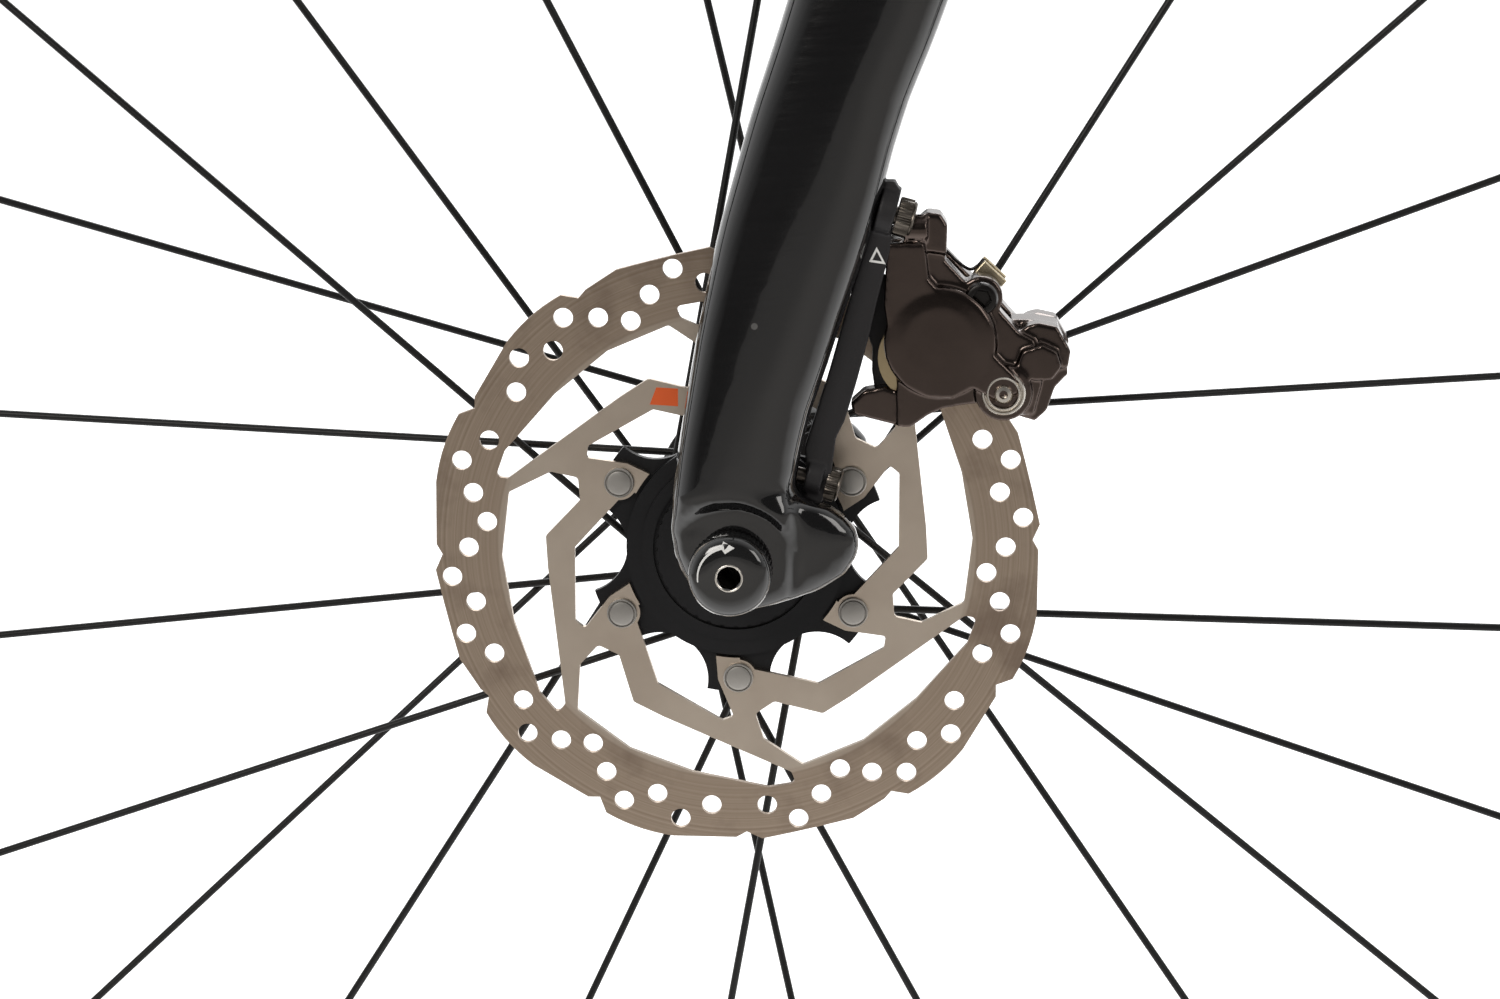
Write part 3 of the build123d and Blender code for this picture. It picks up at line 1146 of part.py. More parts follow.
with BuildPart() as crank_arm_right:
    arm_body(-1)
    bar(BB - LEFT * ARM_FACE, BB + LEFT * ARM_FACE, BB_SPINDLE_R)
    bar(BB - LEFT * (BB_SHELL_W / 2 + 2.5), BB - LEFT * ARM_FACE, 17)
    with BuildSketch(right_plane(BB, SPIDER_Y)) as spider_face:
        Circle(26)
        with PolarLocations(RING_BOLT_R / 2 + 3, 5, start_angle=54):
            Rectangle(RING_BOLT_R - 6, 15)
        with PolarLocations(RING_BOLT_R, 5, start_angle=54):
            Circle(9)
            Circle(RING_STUD_R, mode=Mode.SUBTRACT)
    extrude(spider_face.sketch, amount=5)
save(crank_arm_right, "crank_arm_right")

with BuildPart() as crank_arm_left:
    arm_body(1)
    hex_hole(Plane(origin=BB + LEFT * (ARM_FACE + ARM_T), z_dir=LEFT), 8, 6)
save(crank_arm_left, "crank_arm_left")

with BuildPart() as crank_hardware:
    with BuildSketch(right_plane(BB, CHAIN_Y + RING_T_MM / 2)) as studs:
        with PolarLocations(RING_BOLT_R, 5, start_angle=54):
            Circle(RING_STUD_R)
    extrude(studs.sketch, amount=RING_T_MM + 5)
    for hand in (-1, 1):
        eye = BB + Vector(0, 0, hand) * CRANK_LEN
        bar(eye + LEFT * hand * (PEDAL_FACE - ARM_T), eye + LEFT * hand * (PEDAL_FACE + PEDAL_REACH), PEDAL_AXLE_R)
        bar(eye + LEFT * hand * PEDAL_FACE, eye + LEFT * hand * (PEDAL_FACE + 3), 8)
save(crank_hardware, "crank_hardware")


def pedal(hand):
    """A one-sided clip-in pedal body with its bearing barrel."""
    eye = BB + Vector(0, 0, hand) * CRANK_LEN
    start, end = hand * (PEDAL_FACE + 3 + PIECE_GAP), hand * (PEDAL_FACE + PEDAL_REACH + 4)
    bar(eye + LEFT * start, eye + LEFT * end, 9.5)
    outline = [(-38, 24), (-44, 42), (-30, 60), (20, 64), (46, 56), (46, 30), (24, 20), (-14, 20)]
    deck_at = eye + LEFT * hand * PEDAL_FACE - Vector(0, 0, 5)
    with BuildSketch(Plane(origin=deck_at, x_dir=(1, 0, 0), z_dir=(0, 0, hand))) as deck:
        with BuildLine():
            FilletPolyline(*outline, radius=6, close=True)
        make_face()
    extrude(deck.sketch, amount=hand * 10)
    bar(eye + LEFT * start, eye + LEFT * hand * (PEDAL_FACE + PEDAL_REACH), PEDAL_AXLE_R + RUN_GAP, Mode.SUBTRACT)


for name, hand in (("left", 1), ("right", -1)):
    with BuildPart() as pedal_part:
        pedal(hand)
    save(pedal_part, f"pedal_{name}")

# ---------------------------------------------------------------- cassette and chain
FREEHUB_R = 17.0
FREEHUB_END = COG_Y0 - 4
with BuildPart() as cassette:
    for i, teeth in enumerate(COGS):
        first_gap = seat_phase(3) if i == CHAIN_COG else 0.1 * i
        sprocket(REAR_AXLE, COG_Y0 + i * COG_STEP, teeth, COG_T, FREEHUB_R, first_gap)
    ring(REAR_AXLE, COG_Y0, COG_Y0 + (len(COGS) - 1) * COG_STEP, FREEHUB_R, 18.4)
    ring(REAR_AXLE, COG_Y0 + 6 * COG_STEP, COG_Y0 + (len(COGS) - 1) * COG_STEP, FREEHUB_R, 30)
save(cassette, "cassette")

with BuildPart() as freehub_body:
    ring(REAR_AXLE, FREEHUB_END, REAR_SHELL_END - 6, AXLE_R + RUN_GAP, FREEHUB_R)
    ring(REAR_AXLE, -OLD_REAR / 2 + PIECE_GAP, FREEHUB_END, AXLE_R + RUN_GAP, 14)
save(freehub_body, "freehub_body")


def chain_link(outer):
    """Two side plates with their rollers or pins, drawn along X about the middle of the link."""
    inside, plate_t = (1.95, 0.7) if outer else (1.12, 0.75)
    for side in (-1, 1):
        with BuildSketch(Plane(origin=(0, side * inside, 0), x_dir=(1, 0, 0), z_dir=(0, side, 0))) as face:
            SlotCenterToCenter(PITCH, 7.6)
            with Locations((0, 6.6), (0, -6.6)):
                Circle(4, mode=Mode.SUBTRACT)
        extrude(face.sketch, amount=plate_t)
    for end in (-PITCH / 2, PITCH / 2):
        start, stop = Vector(end, -inside, 0), Vector(end, inside, 0)
        if outer:
            bar(start - LEFT * plate_t, stop + LEFT * plate_t, 1.7)
        else:
            bar(start, stop, ROLLER_R)
            bar(start - LEFT * plate_t, stop + LEFT * plate_t, 2.0, Mode.SUBTRACT)


with BuildPart() as outer_link:
    chain_link(True)
with BuildPart() as inner_link:
    chain_link(False)
links = []
for k in range(LINKS):
    start, end = roller_at(k), roller_at((k + 1) % LINKS)
    place = Plane(origin=(start + end) * 0.5 + LEFT * CHAIN_Y, x_dir=end - start, z_dir=LEFT)
    link = outer_link if k % 2 else inner_link
    turned_link = Plane(origin=(0, 0, 0), x_dir=(1, 0, 0), z_dir=LEFT).location.inverse() * link.part
    links.append((place.location * turned_link).solid())
save_solids(links, "chain")

# ---------------------------------------------------------------- rear derailleur
HANGER_BACK, HANGER_DOWN = 9.0, 28.0
HANGER_Y = -(DROP_Y + DROP_T)
HANGER_T = 5.0
HANGER_AT = REAR_AXLE + Vector(-HANGER_BACK, 0, -HANGER_DOWN)
LINK_LEN, LINK_GAP, LINK_HALF_W, LINK_HALF_T = 42.0, 15.0, 5.5, 5.0
SLANT = math.radians(37)  # how far the links swing down as they swing inboard
LINK_SWING = Vector(0, math.cos(SLANT), -math.sin(SLANT))
LINK_AXIS = Vector(0, math.sin(SLANT), math.cos(SLANT))
LOW_PIVOT = Vector(GUIDE.X - 18, -77, GUIDE.Z + 6)
HIGH_PIVOT = LOW_PIVOT - Vector(LINK_LEN, 0, 0)
PLATE_T, PIN_HALF_R, WEB_T = 2.5, 2.5, 5.0
CAGE_PLATE_T, CAGE_HALF = 1.6, 6.2
CAGE_STUB_R = 5.0


def link_plane(pivot, offset):
    return Plane(origin=pivot + LINK_AXIS * offset, x_dir=(1, 0, 0), z_dir=LINK_AXIS)


def clevis(pivot, forward):
    """Two plates with the pins of both links between them, and a web behind the links' ends."""
    web_at = forward * (LINK_HALF_W + 1.5)
    for side in (-1, 1):
        with BuildSketch(link_plane(pivot, side * (LINK_HALF_T + 0.4))) as cheek:
            with Locations((0, -LINK_GAP / 2)):
                Rectangle(2 * LINK_HALF_W + 2, LINK_GAP + 12)
            with Locations((web_at + forward * WEB_T / 2, -LINK_GAP / 2)):
                Rectangle(WEB_T + 2, LINK_GAP + 12)
        extrude(cheek.sketch, amount=side * PLATE_T)
    with BuildSketch(link_plane(pivot, -LINK_HALF_T - 0.4 - PLATE_T)) as web:
        with Locations((web_at + forward * WEB_T / 2, -LINK_GAP / 2)):
            Rectangle(WEB_T, LINK_GAP + 12)
    extrude(web.sketch, amount=2 * (LINK_HALF_T + 0.4 + PLATE_T))
    for across in (0, -LINK_GAP):
        spot = pivot + LINK_SWING * across
        bar(spot - LINK_AXIS * (LINK_HALF_T + 1), spot + LINK_AXIS * (LINK_HALF_T + 1), PIN_HALF_R)


with BuildPart() as derailleur_hanger:
    outline = [(-12, 9), (-14, -6), (-2, -34), (9, -42), (20, -34), (20, -20), (12, 2), (6, 11)]
    plate(side_plane(REAR_AXLE, HANGER_Y), outline, -HANGER_T, 4)
    bar(REAR_AXLE + LEFT * (HANGER_Y - HANGER_T), REAR_AXLE + LEFT * HANGER_Y, AXLE_R + 1, Mode.SUBTRACT)
    bar(HANGER_AT + LEFT * (HANGER_Y - HANGER_T), HANGER_AT + LEFT * HANGER_Y, 5, Mode.SUBTRACT)
save(derailleur_hanger, "derailleur_hanger")

with BuildPart() as derailleur_body:
    bar(HANGER_AT + LEFT * (HANGER_Y - HANGER_T), HANGER_AT + LEFT * HANGER_Y, 5)
    outer_face = HANGER_AT + LEFT * (HANGER_Y - HANGER_T)
    bar(outer_face - LEFT * 13, outer_face, 11)
    clevis(HIGH_PIVOT, -1)
    # the arm comes down behind the web, so that both links stay clear of it
    web_back = HIGH_PIVOT - Vector(LINK_HALF_W + 1.5 + WEB_T, 0, 0) - LINK_SWING * (LINK_GAP / 2)
    arm_knee = web_back + Vector(-4, 0, 30)
    bar(outer_face - LEFT * 8, arm_knee, 6)
    bar(arm_knee + Vector(0, 0, 4), web_back, 5)
save(derailleur_body, "derailleur_body")

for name, across in (("outer", -LINK_GAP), ("inner", 0.0)):
    with BuildPart() as link_part:
        middle = HIGH_PIVOT + LINK_SWING * across + Vector(LINK_LEN / 2, 0, 0)
        with BuildSketch(link_plane(middle, -LINK_HALF_T)) as face:
            SlotCenterToCenter(LINK_LEN, 2 * LINK_HALF_W)
            with Locations((-LINK_LEN / 2, 0), (LINK_LEN / 2, 0)):
                Circle(PIN_HALF_R + RUN_GAP, mode=Mode.SUBTRACT)
        extrude(face.sketch, amount=2 * LINK_HALF_T)
    save(link_part, f"derailleur_link_{name}")

KNUCKLE_END = CHAIN_Y - CAGE_HALF - CAGE_PLATE_T - 0.4
with BuildPart() as derailleur_knuckle:
    clevis(LOW_PIVOT, 1)
    bar(GUIDE + LEFT * -86, GUIDE + LEFT * KNUCKLE_END, 10)
    low_web = LOW_PIVOT + Vector(LINK_HALF_W + 1.5 + WEB_T / 2, 0, 0) - LINK_SWING * (LINK_GAP / 2)
    bar(low_web, GUIDE + LEFT * -80, 4.5)
    bar(GUIDE + LEFT * -76, GUIDE + LEFT * KNUCKLE_END, CAGE_STUB_R + RUN_GAP, Mode.SUBTRACT)
save(derailleur_knuckle, "derailleur_knuckle")

with BuildPart() as derailleur_cage:
    cage_dir = (TENSION - GUIDE).normalized()
    for side in (-1, 1):
        middle = (GUIDE + TENSION) * 0.5 + LEFT * (CHAIN_Y + side * CAGE_HALF)
        face = Plane(origin=middle, x_dir=cage_dir, z_dir=LEFT * side)
        with BuildSketch(face) as cheek:
            SlotCenterToCenter(CAGE_LEN, 22)
            SlotCenterToCenter(CAGE_LEN - 34, 8, mode=Mode.SUBTRACT)
        extrude(cheek.sketch, amount=CAGE_PLATE_T)
    for centre in (GUIDE, TENSION):
        bar(centre + LEFT * (CHAIN_Y - CAGE_HALF), centre + LEFT * (CHAIN_Y + CAGE_HALF), PIN_HALF_R)
    bar(GUIDE + LEFT * -75, GUIDE + LEFT * (CHAIN_Y - CAGE_HALF - 1), CAGE_STUB_R)
save(derailleur_cage, "derailleur_cage")

for name, centre, wheel in (("tension", TENSION, 1), ("guide", GUIDE, 2)):
    with BuildPart() as pulley:
        sprocket(centre, CHAIN_Y, PULLEY_T, 1.9, PIN_HALF_R + RUN_GAP, seat_phase(wheel))
        ring(centre, CHAIN_Y - 5, CHAIN_Y + 5, PIN_HALF_R + RUN_GAP, 7)
    save(pulley, f"{name}_pulley")

print(f"wheelbase {FRONT_X - REAR_X:.1f}, head tube {HEAD_LEN:.1f}, bar top {BAR_CENTRE.Z:.1f}")
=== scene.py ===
"""Looks for the road bicycle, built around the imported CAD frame. Metres, X forward, Y left, Z up."""

import json
import math

import bmesh
import bpy
from mathutils import Matrix, Vector


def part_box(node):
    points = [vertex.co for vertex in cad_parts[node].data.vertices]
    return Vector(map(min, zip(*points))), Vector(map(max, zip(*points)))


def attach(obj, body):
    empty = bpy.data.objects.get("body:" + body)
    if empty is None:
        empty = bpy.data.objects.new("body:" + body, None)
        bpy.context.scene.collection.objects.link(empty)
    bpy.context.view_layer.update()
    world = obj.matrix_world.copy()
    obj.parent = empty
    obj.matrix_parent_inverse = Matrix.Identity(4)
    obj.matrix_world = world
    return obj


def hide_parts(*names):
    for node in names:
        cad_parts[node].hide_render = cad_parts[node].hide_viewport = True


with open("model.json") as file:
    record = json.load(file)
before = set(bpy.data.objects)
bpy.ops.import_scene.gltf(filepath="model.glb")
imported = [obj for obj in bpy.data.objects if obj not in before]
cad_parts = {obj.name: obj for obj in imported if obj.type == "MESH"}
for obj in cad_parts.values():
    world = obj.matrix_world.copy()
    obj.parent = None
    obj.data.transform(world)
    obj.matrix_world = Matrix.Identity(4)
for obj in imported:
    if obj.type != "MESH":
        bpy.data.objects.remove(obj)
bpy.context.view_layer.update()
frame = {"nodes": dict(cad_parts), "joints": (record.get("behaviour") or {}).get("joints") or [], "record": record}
NODES = frame["nodes"]
JOINTS = {joint["name"]: joint for joint in frame["joints"]}


def joint_point(name):
    return Vector(JOINTS[name]["pos_m"])


FRONT_AXLE = joint_point("front_wheel_spin")
REAR_AXLE = joint_point("rear_wheel_spin")
CRANK_AXLE = joint_point("crank_spin")
HEAD_TOP = joint_point("steering_turn")
STEER_UP = Vector(JOINTS["steering_turn"]["axis"]).normalized()
STEER_FORE = Vector((STEER_UP.z, 0, -STEER_UP.x))  # square to the steering axis, forwards
MM = 0.001
BLADE_LEAN = math.radians(7)  # how far the fork blade's own upright leans back
BLADE_BACK = Vector((-math.cos(BLADE_LEAN), 0, -math.sin(BLADE_LEAN)))
BLADE_UP = Vector((-math.sin(BLADE_LEAN), 0, math.cos(BLADE_LEAN)))
LEFT = Vector((0, 1, 0))
ROTOR_Y = sum(corner.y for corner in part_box("front_rotor")) / 2


def blade_point(back, up, side=0.0):
    """A point in the fork blade's own axes, in millimetres from the front axle."""
    return FRONT_AXLE + (BLADE_BACK * back + BLADE_UP * up) * MM + LEFT * (side * MM)


# ---------------------------------------------------------------- camera, light and floor
LENS_MM = 99.1
CAMERA_AT = (55.0, 233.7, 1042.5)  # back, up and out from the rotor's centre, in the blade's axes
CAMERA_PITCH, CAMERA_YAW = math.radians(-11.966), math.radians(-2.829)


def place_camera():
    camera = bpy.data.objects.new("camera", bpy.data.cameras.new("camera"))
    bpy.context.scene.collection.objects.link(camera)
    camera.data.lens = LENS_MM
    camera.data.sensor_width = 36
    camera.data.clip_start, camera.data.clip_end = 0.05, 100
    back, up, out = CAMERA_AT
    look = Vector((math.sin(CAMERA_YAW) * math.cos(CAMERA_PITCH), math.sin(CAMERA_PITCH),
                   -math.cos(CAMERA_YAW) * math.cos(CAMERA_PITCH)))
    right = Vector((math.cos(CAMERA_YAW), 0, math.sin(CAMERA_YAW)))
    rise = right.cross(look)
    to_row = Matrix((BLADE_BACK, BLADE_UP, LEFT)).transposed()
    axes = [to_row @ axis for axis in (right, rise, -look)]
    turn = Matrix(axes).transposed().to_4x4()
    spot = blade_point(back, up, ROTOR_Y / MM + out)
    camera.matrix_world = Matrix.Translation(spot) @ turn
    bpy.context.scene.camera = camera


def area_light(name, spot, target, size, power, color=(1, 1, 1)):
    light = bpy.data.lights.new(name, "AREA")
    light.shape = "RECTANGLE"
    light.size, light.size_y = size
    light.energy, light.color = power, color
    obj = bpy.data.objects.new(name, light)
    bpy.context.scene.collection.objects.link(obj)
    obj.location = spot
    obj.rotation_euler = (Vector(target) - Vector(spot)).to_track_quat("-Z", "Y").to_euler()
    return obj


def light_studio():
    """A white room that is darker on the camera's side, so that edges shine and faces stay deep."""
    bpy.context.scene.view_settings.view_transform = "Standard"
    world = bpy.data.worlds.new("studio")
    bpy.context.scene.world = world
    world.use_nodes = True
    tree = world.node_tree
    sky = tree.nodes["Background"]
    where = tree.nodes.new("ShaderNodeTexCoord")
    split = tree.nodes.new("ShaderNodeSeparateXYZ")
    tree.links.new(where.outputs["Generated"], split.inputs[0])
    fade = tree.nodes.new("ShaderNodeMapRange")
    for key, value in (("From Min", -0.1), ("From Max", 0.75), ("To Min", 1.0), ("To Max", 0.07)):
        fade.inputs[key].default_value = value
    tree.links.new(split.outputs["Y"], fade.inputs["Value"])
    path = tree.nodes.new("ShaderNodeLightPath")
    seen = tree.nodes.new("ShaderNodeMath")
    seen.operation = "MAXIMUM"
    tree.links.new(fade.outputs["Result"], seen.inputs[0])
    tree.links.new(path.outputs["Is Camera Ray"], seen.inputs[1])
    tree.links.new(seen.outputs[0], sky.inputs["Strength"])
    sky.inputs["Color"].default_value = (1.0, 1.0, 1.0, 1)
    area_light("key", (1.5, 2.4, 1.9), (0.45, 0, 0.35), (1.3, 0.9), 34, (1.0, 0.965, 0.92))
    area_light("fill", (-1.9, 2.2, 1.4), (0, 0, 0.45), (1.0, 1.4), 14, (1.0, 0.97, 0.94))
    area_light("back", (0.2, -2.8, 2.2), (0, 0, 0.5), (2.4, 1.2), 40)


def make_floor():
    mesh = bpy.data.meshes.new("floor")
    reach = 14
    corners = [(-reach, -reach, 0), (reach, -reach, 0), (reach, reach, 0), (-reach, reach, 0)]
    mesh.from_pydata(corners, [], [(0, 1, 2, 3)])
    floor = bpy.data.objects.new("floor", mesh)
    bpy.context.scene.collection.objects.link(floor)
    shader = Shader("floor_white")
    shader.set(Roughness=0.95, Emission_Strength=0.55)
    split = shader.node("ShaderNodeSeparateXYZ")
    shader.join(shader.place, split.inputs[0])
    unseen = shader.math("SUBTRACT", 1.0, shader.node("ShaderNodeLightPath").outputs["Is Camera Ray"])
    near = shader.math("MULTIPLY", shader.spread(split.outputs["Y"], 0, 1, 0.1, 0.8), unseen)
    clean = shader.ramp(shader.noise(3, 3), (0.3, (0.9, 0.9, 0.9)), (0.7, (0.92, 0.92, 0.92)))
    shader.color(shader.mix(near, clean, (0.3, 0.29, 0.28)))
    shader.join(shader.mix(near, (1.0, 1.0, 1.0), (0.12, 0.115, 0.11)), shader.bsdf.inputs["Emission Color"])
    floor.data.materials.append(shader.material)


# ---------------------------------------------------------------- materials
class Shader:
    """A Principled material with short calls for the nodes that give it detail."""

    def __init__(self, name):
        self.material = bpy.data.materials.new(name)
        self.material.use_nodes = True
        self.tree = self.material.node_tree
        self.bsdf = self.tree.nodes["Principled BSDF"]
        self.place = self.node("ShaderNodeTexCoord").outputs["Object"]

    def node(self, kind, **values):
        made = self.tree.nodes.new(kind)
        for key, value in values.items():
            setattr(made, key, value)
        return made

    def join(self, source, target):
        self.tree.links.new(source, target)

    def set(self, **values):
        for key, value in values.items():
            self.bsdf.inputs[key.replace("_", " ")].default_value = value

    def scaled(self, scale, source=None):
        mapping = self.node("ShaderNodeMapping")
        mapping.inputs["Scale"].default_value = scale
        self.join(source or self.place, mapping.inputs["Vector"])
        return mapping.outputs["Vector"]

    def noise(self, scale, detail=4.0, rough=0.5, source=None, distortion=0.0):
        made = self.node("ShaderNodeTexNoise")
        made.inputs["Scale"].default_value = scale
        made.inputs["Detail"].default_value = detail
        made.inputs["Roughness"].default_value = rough
        made.inputs["Distortion"].default_value = distortion
        self.join(source or self.place, made.inputs["Vector"])
        return made.outputs["Fac"]

    def voronoi(self, scale, feature="F1", source=None):
        made = self.node("ShaderNodeTexVoronoi", feature=feature)
        made.inputs["Scale"].default_value = scale
        self.join(source or self.place, made.inputs["Vector"])
        return made.outputs["Distance"]

    def math(self, operation, first, second=0.0, clamp=False):
        made = self.node("ShaderNodeMath", operation=operation, use_clamp=clamp)
        for socket, value in zip(made.inputs, (first, second)):
            if isinstance(value, (int, float)):
                socket.default_value = value
            else:
                self.join(value, socket)
        return made.outputs[0]

    def ramp(self, source, *stops):
        made = self.node("ShaderNodeValToRGB")
        elements = made.color_ramp.elements
        while len(elements) < len(stops):
            elements.new(0.5)
        for element, (position, color) in zip(elements, stops):
            element.position = position
            element.color = color if len(color) == 4 else (*color, 1)
        self.join(source, made.inputs["Fac"])
        return made.outputs["Color"]

    def spread(self, source, low, high, from_low=0.0, from_high=1.0):
        made = self.node("ShaderNodeMapRange")
        for key, value in (("From Min", from_low), ("From Max", from_high), ("To Min", low),
                           ("To Max", high)):
            made.inputs[key].default_value = value
        self.join(source, made.inputs["Value"])
        return made.outputs["Result"]

    def mix(self, factor, first, second):
        made = self.node("ShaderNodeMix", data_type="RGBA")
        self.join(factor, made.inputs["Factor"])
        for socket, value in ((made.inputs["A"], first), (made.inputs["B"], second)):
            if isinstance(value, tuple):
                socket.default_value = (*value, 1)
            else:
                self.join(value, socket)
        return made.outputs["Result"]

    def color(self, source):
        self.join(source, self.bsdf.inputs["Base Color"])

    def rough(self, source):
        self.join(source, self.bsdf.inputs["Roughness"])

    def bump(self, height, strength, distance):
        made = self.node("ShaderNodeBump")
        made.inputs["Strength"].default_value = strength
        made.inputs["Distance"].default_value = distance
        self.join(height, made.inputs["Height"])
        self.join(made.outputs["Normal"], self.bsdf.inputs["Normal"])

    def radius(self, centre):
        """Distance from the cross axis through centre, in metres."""
        shift = self.node("ShaderNodeVectorMath", operation="SUBTRACT")
        self.join(self.place, shift.inputs[0])
        shift.inputs[1].default_value = centre
        flat = self.node("ShaderNodeVectorMath", operation="MULTIPLY")
        self.join(shift.outputs[0], flat.inputs[0])
        flat.inputs[1].default_value = (1, 0, 1)
        size = self.node("ShaderNodeVectorMath", operation="LENGTH")
        self.join(flat.outputs[0], size.inputs[0])
        return size.outputs["Value"]


def paint(name, color, rough):
    """A plain moulded or painted surface with slight mottling."""
    shader = Shader(name)
    tone = shader.noise(120, 3)
    darker = tuple(c * 0.96 for c in color)
    shader.color(shader.ramp(tone, (0.3, darker), (0.7, color)))
    shader.rough(shader.spread(tone, rough * 0.96, min(1, rough * 1.04)))
    return shader.material


def lacquer(name, color, flecks=True):
    """High-gloss clear coat over dark composite, with a few chips and fine scratches."""
    shader = Shader(name)
    shader.set(IOR=1.52, Coat_Weight=1.0, Coat_Roughness=0.03)
    cloud = shader.noise(14, 3)
    lighter = tuple(c * 1.8 + 0.001 for c in color)
    base = shader.ramp(cloud, (0.35, color), (0.8, lighter))
    if flecks:
        specks = shader.voronoi(95)
        patches = shader.noise(23, 2)
        chip = shader.math("MULTIPLY", shader.math("LESS_THAN", specks, 0.085),
                           shader.math("GREATER_THAN", patches, 0.585))
        base = shader.mix(chip, base, (0.09, 0.088, 0.085))
    shader.color(base)
    scratch = shader.noise(60, 6, 0.7, shader.scaled((1, 1, 14)))
    shader.rough(shader.spread(scratch, 0.06, 0.2, 0.35, 0.8))
    return shader.material


def anodised(name, color, rough=0.38, metallic=1.0, grain=900):
    """Fine-blasted anodised alloy."""
    shader = Shader(name)
    shader.set(Metallic=metallic)
    cloud = shader.noise(40, 4)
    lighter = tuple(min(1, c * 1.35) for c in color)
    shader.color(shader.ramp(cloud, (0.3, color), (0.75, lighter)))
    fine = shader.noise(grain, 3)
    shader.rough(shader.spread(fine, rough * 0.85, rough * 1.2))
    shader.bump(fine, 0.12, 0.0002)
    return shader.material


def turned_metal(name, color, centre, rough=0.3, rings=4000):
    """Metal with fine concentric turning marks about a cross axis."""
    shader = Shader(name)
    shader.set(Metallic=1.0)
    radius = shader.radius(centre)
    line = shader.node("ShaderNodeTexNoise", noise_dimensions="1D")
    line.inputs["Scale"].default_value = rings
    line.inputs["Detail"].default_value = 3
    shader.join(radius, line.inputs["W"])
    marks = line.outputs["Fac"]
    darker = tuple(c * 0.8 for c in color)
    shader.color(shader.ramp(marks, (0.3, darker), (0.7, color)))
    shader.rough(shader.spread(marks, rough * 0.75, rough * 1.3))
    shader.bump(marks, 0.15, 0.0001)
    return shader.material


def rotor_steel(name, centre):
    """Warm stainless steel: pale ground arms inside a darker, heat-tinted braking track."""
    shader = Shader(name)
    shader.set(Metallic=1.0, Anisotropic=0.4)
    radius = shader.radius(centre)
    line = shader.node("ShaderNodeTexNoise", noise_dimensions="1D")
    line.inputs["Scale"].default_value = 1600
    line.inputs["Detail"].default_value = 4
    shader.join(radius, line.inputs["W"])
    marks = line.outputs["Fac"]
    track = shader.spread(radius, 0, 1, 0.0605, 0.0625)
    arms = shader.ramp(shader.noise(50, 3), (0.3, (0.60, 0.51, 0.42)), (0.7, (0.70, 0.61, 0.51)))
    swept = shader.ramp(marks, (0.25, (0.40, 0.31, 0.235)), (0.75, (0.56, 0.455, 0.36)))
    smudge = shader.spread(shader.noise(38, 5, 0.6), 0, 0.7, 0.5, 0.68)
    tinted = shader.mix(smudge, swept, (0.27, 0.2, 0.155))
    shader.color(shader.mix(track, arms, tinted))
    shader.rough(shader.spread(marks, 0.26, 0.4))
    shader.bump(marks, 0.12, 0.0001)
    return shader.material


def rubber(name, color, scale, strength, rough=0.75, pattern="voronoi"):
    """Textured rubber or foam skin."""
    shader = Shader(name)
    grain = shader.voronoi(scale) if pattern == "voronoi" else shader.noise(scale, 3)
    lighter = tuple(c * 1.7 for c in color)
    shader.color(shader.ramp(shader.noise(scale / 12, 4), (0.3, color), (0.75, lighter)))
    shader.rough(shader.spread(grain, rough - 0.12, min(1, rough + 0.1)))
    shader.bump(grain, strength, 0.0006)
    return shader.material


GLOSS_BLACK = lacquer("gloss_black", (0.0035, 0.0033, 0.0035), False)
FORK_GLOSS = lacquer("fork_gloss", (0.0035, 0.0033, 0.0035))
CALIPER_GLOSS = anodised("caliper_gloss", (0.085, 0.066, 0.058), 0.17, 1.0, 300)
NIPPLE_STEEL = anodised("nipple_steel", (0.62, 0.585, 0.53), 0.24, 1.0, 300)
DARK_STEEL = anodised("dark_steel", (0.035, 0.033, 0.032), 0.28, 1.0, 500)
KNURLED = anodised("knurled_steel", (0.12, 0.105, 0.09), 0.3, 1.0, 500)
# Matte black alloy for the mount plate; the same material also makes the painted shade laid in the caliper's
# recess.
MATTE_BLACK_AND_RECESS_SHADE = anodised("matte_black_and_recess_shade", (0.014, 0.013, 0.014), 0.5, 0.3, 1400)
PAD_BRASS = anodised("pad_brass", (0.50, 0.43, 0.30), 0.32, 1.0, 400)
CAP_BLACK = lacquer("cap_black", (0.006, 0.006, 0.006), False)
RIVET = anodised("rivet_satin", (0.40, 0.385, 0.36), 0.38, 1.0, 700)
PRINT_WHITE = paint("print_white", (0.78, 0.78, 0.76), 0.5)
ORANGE = paint("sticker_orange", (0.80, 0.12, 0.02), 0.4)
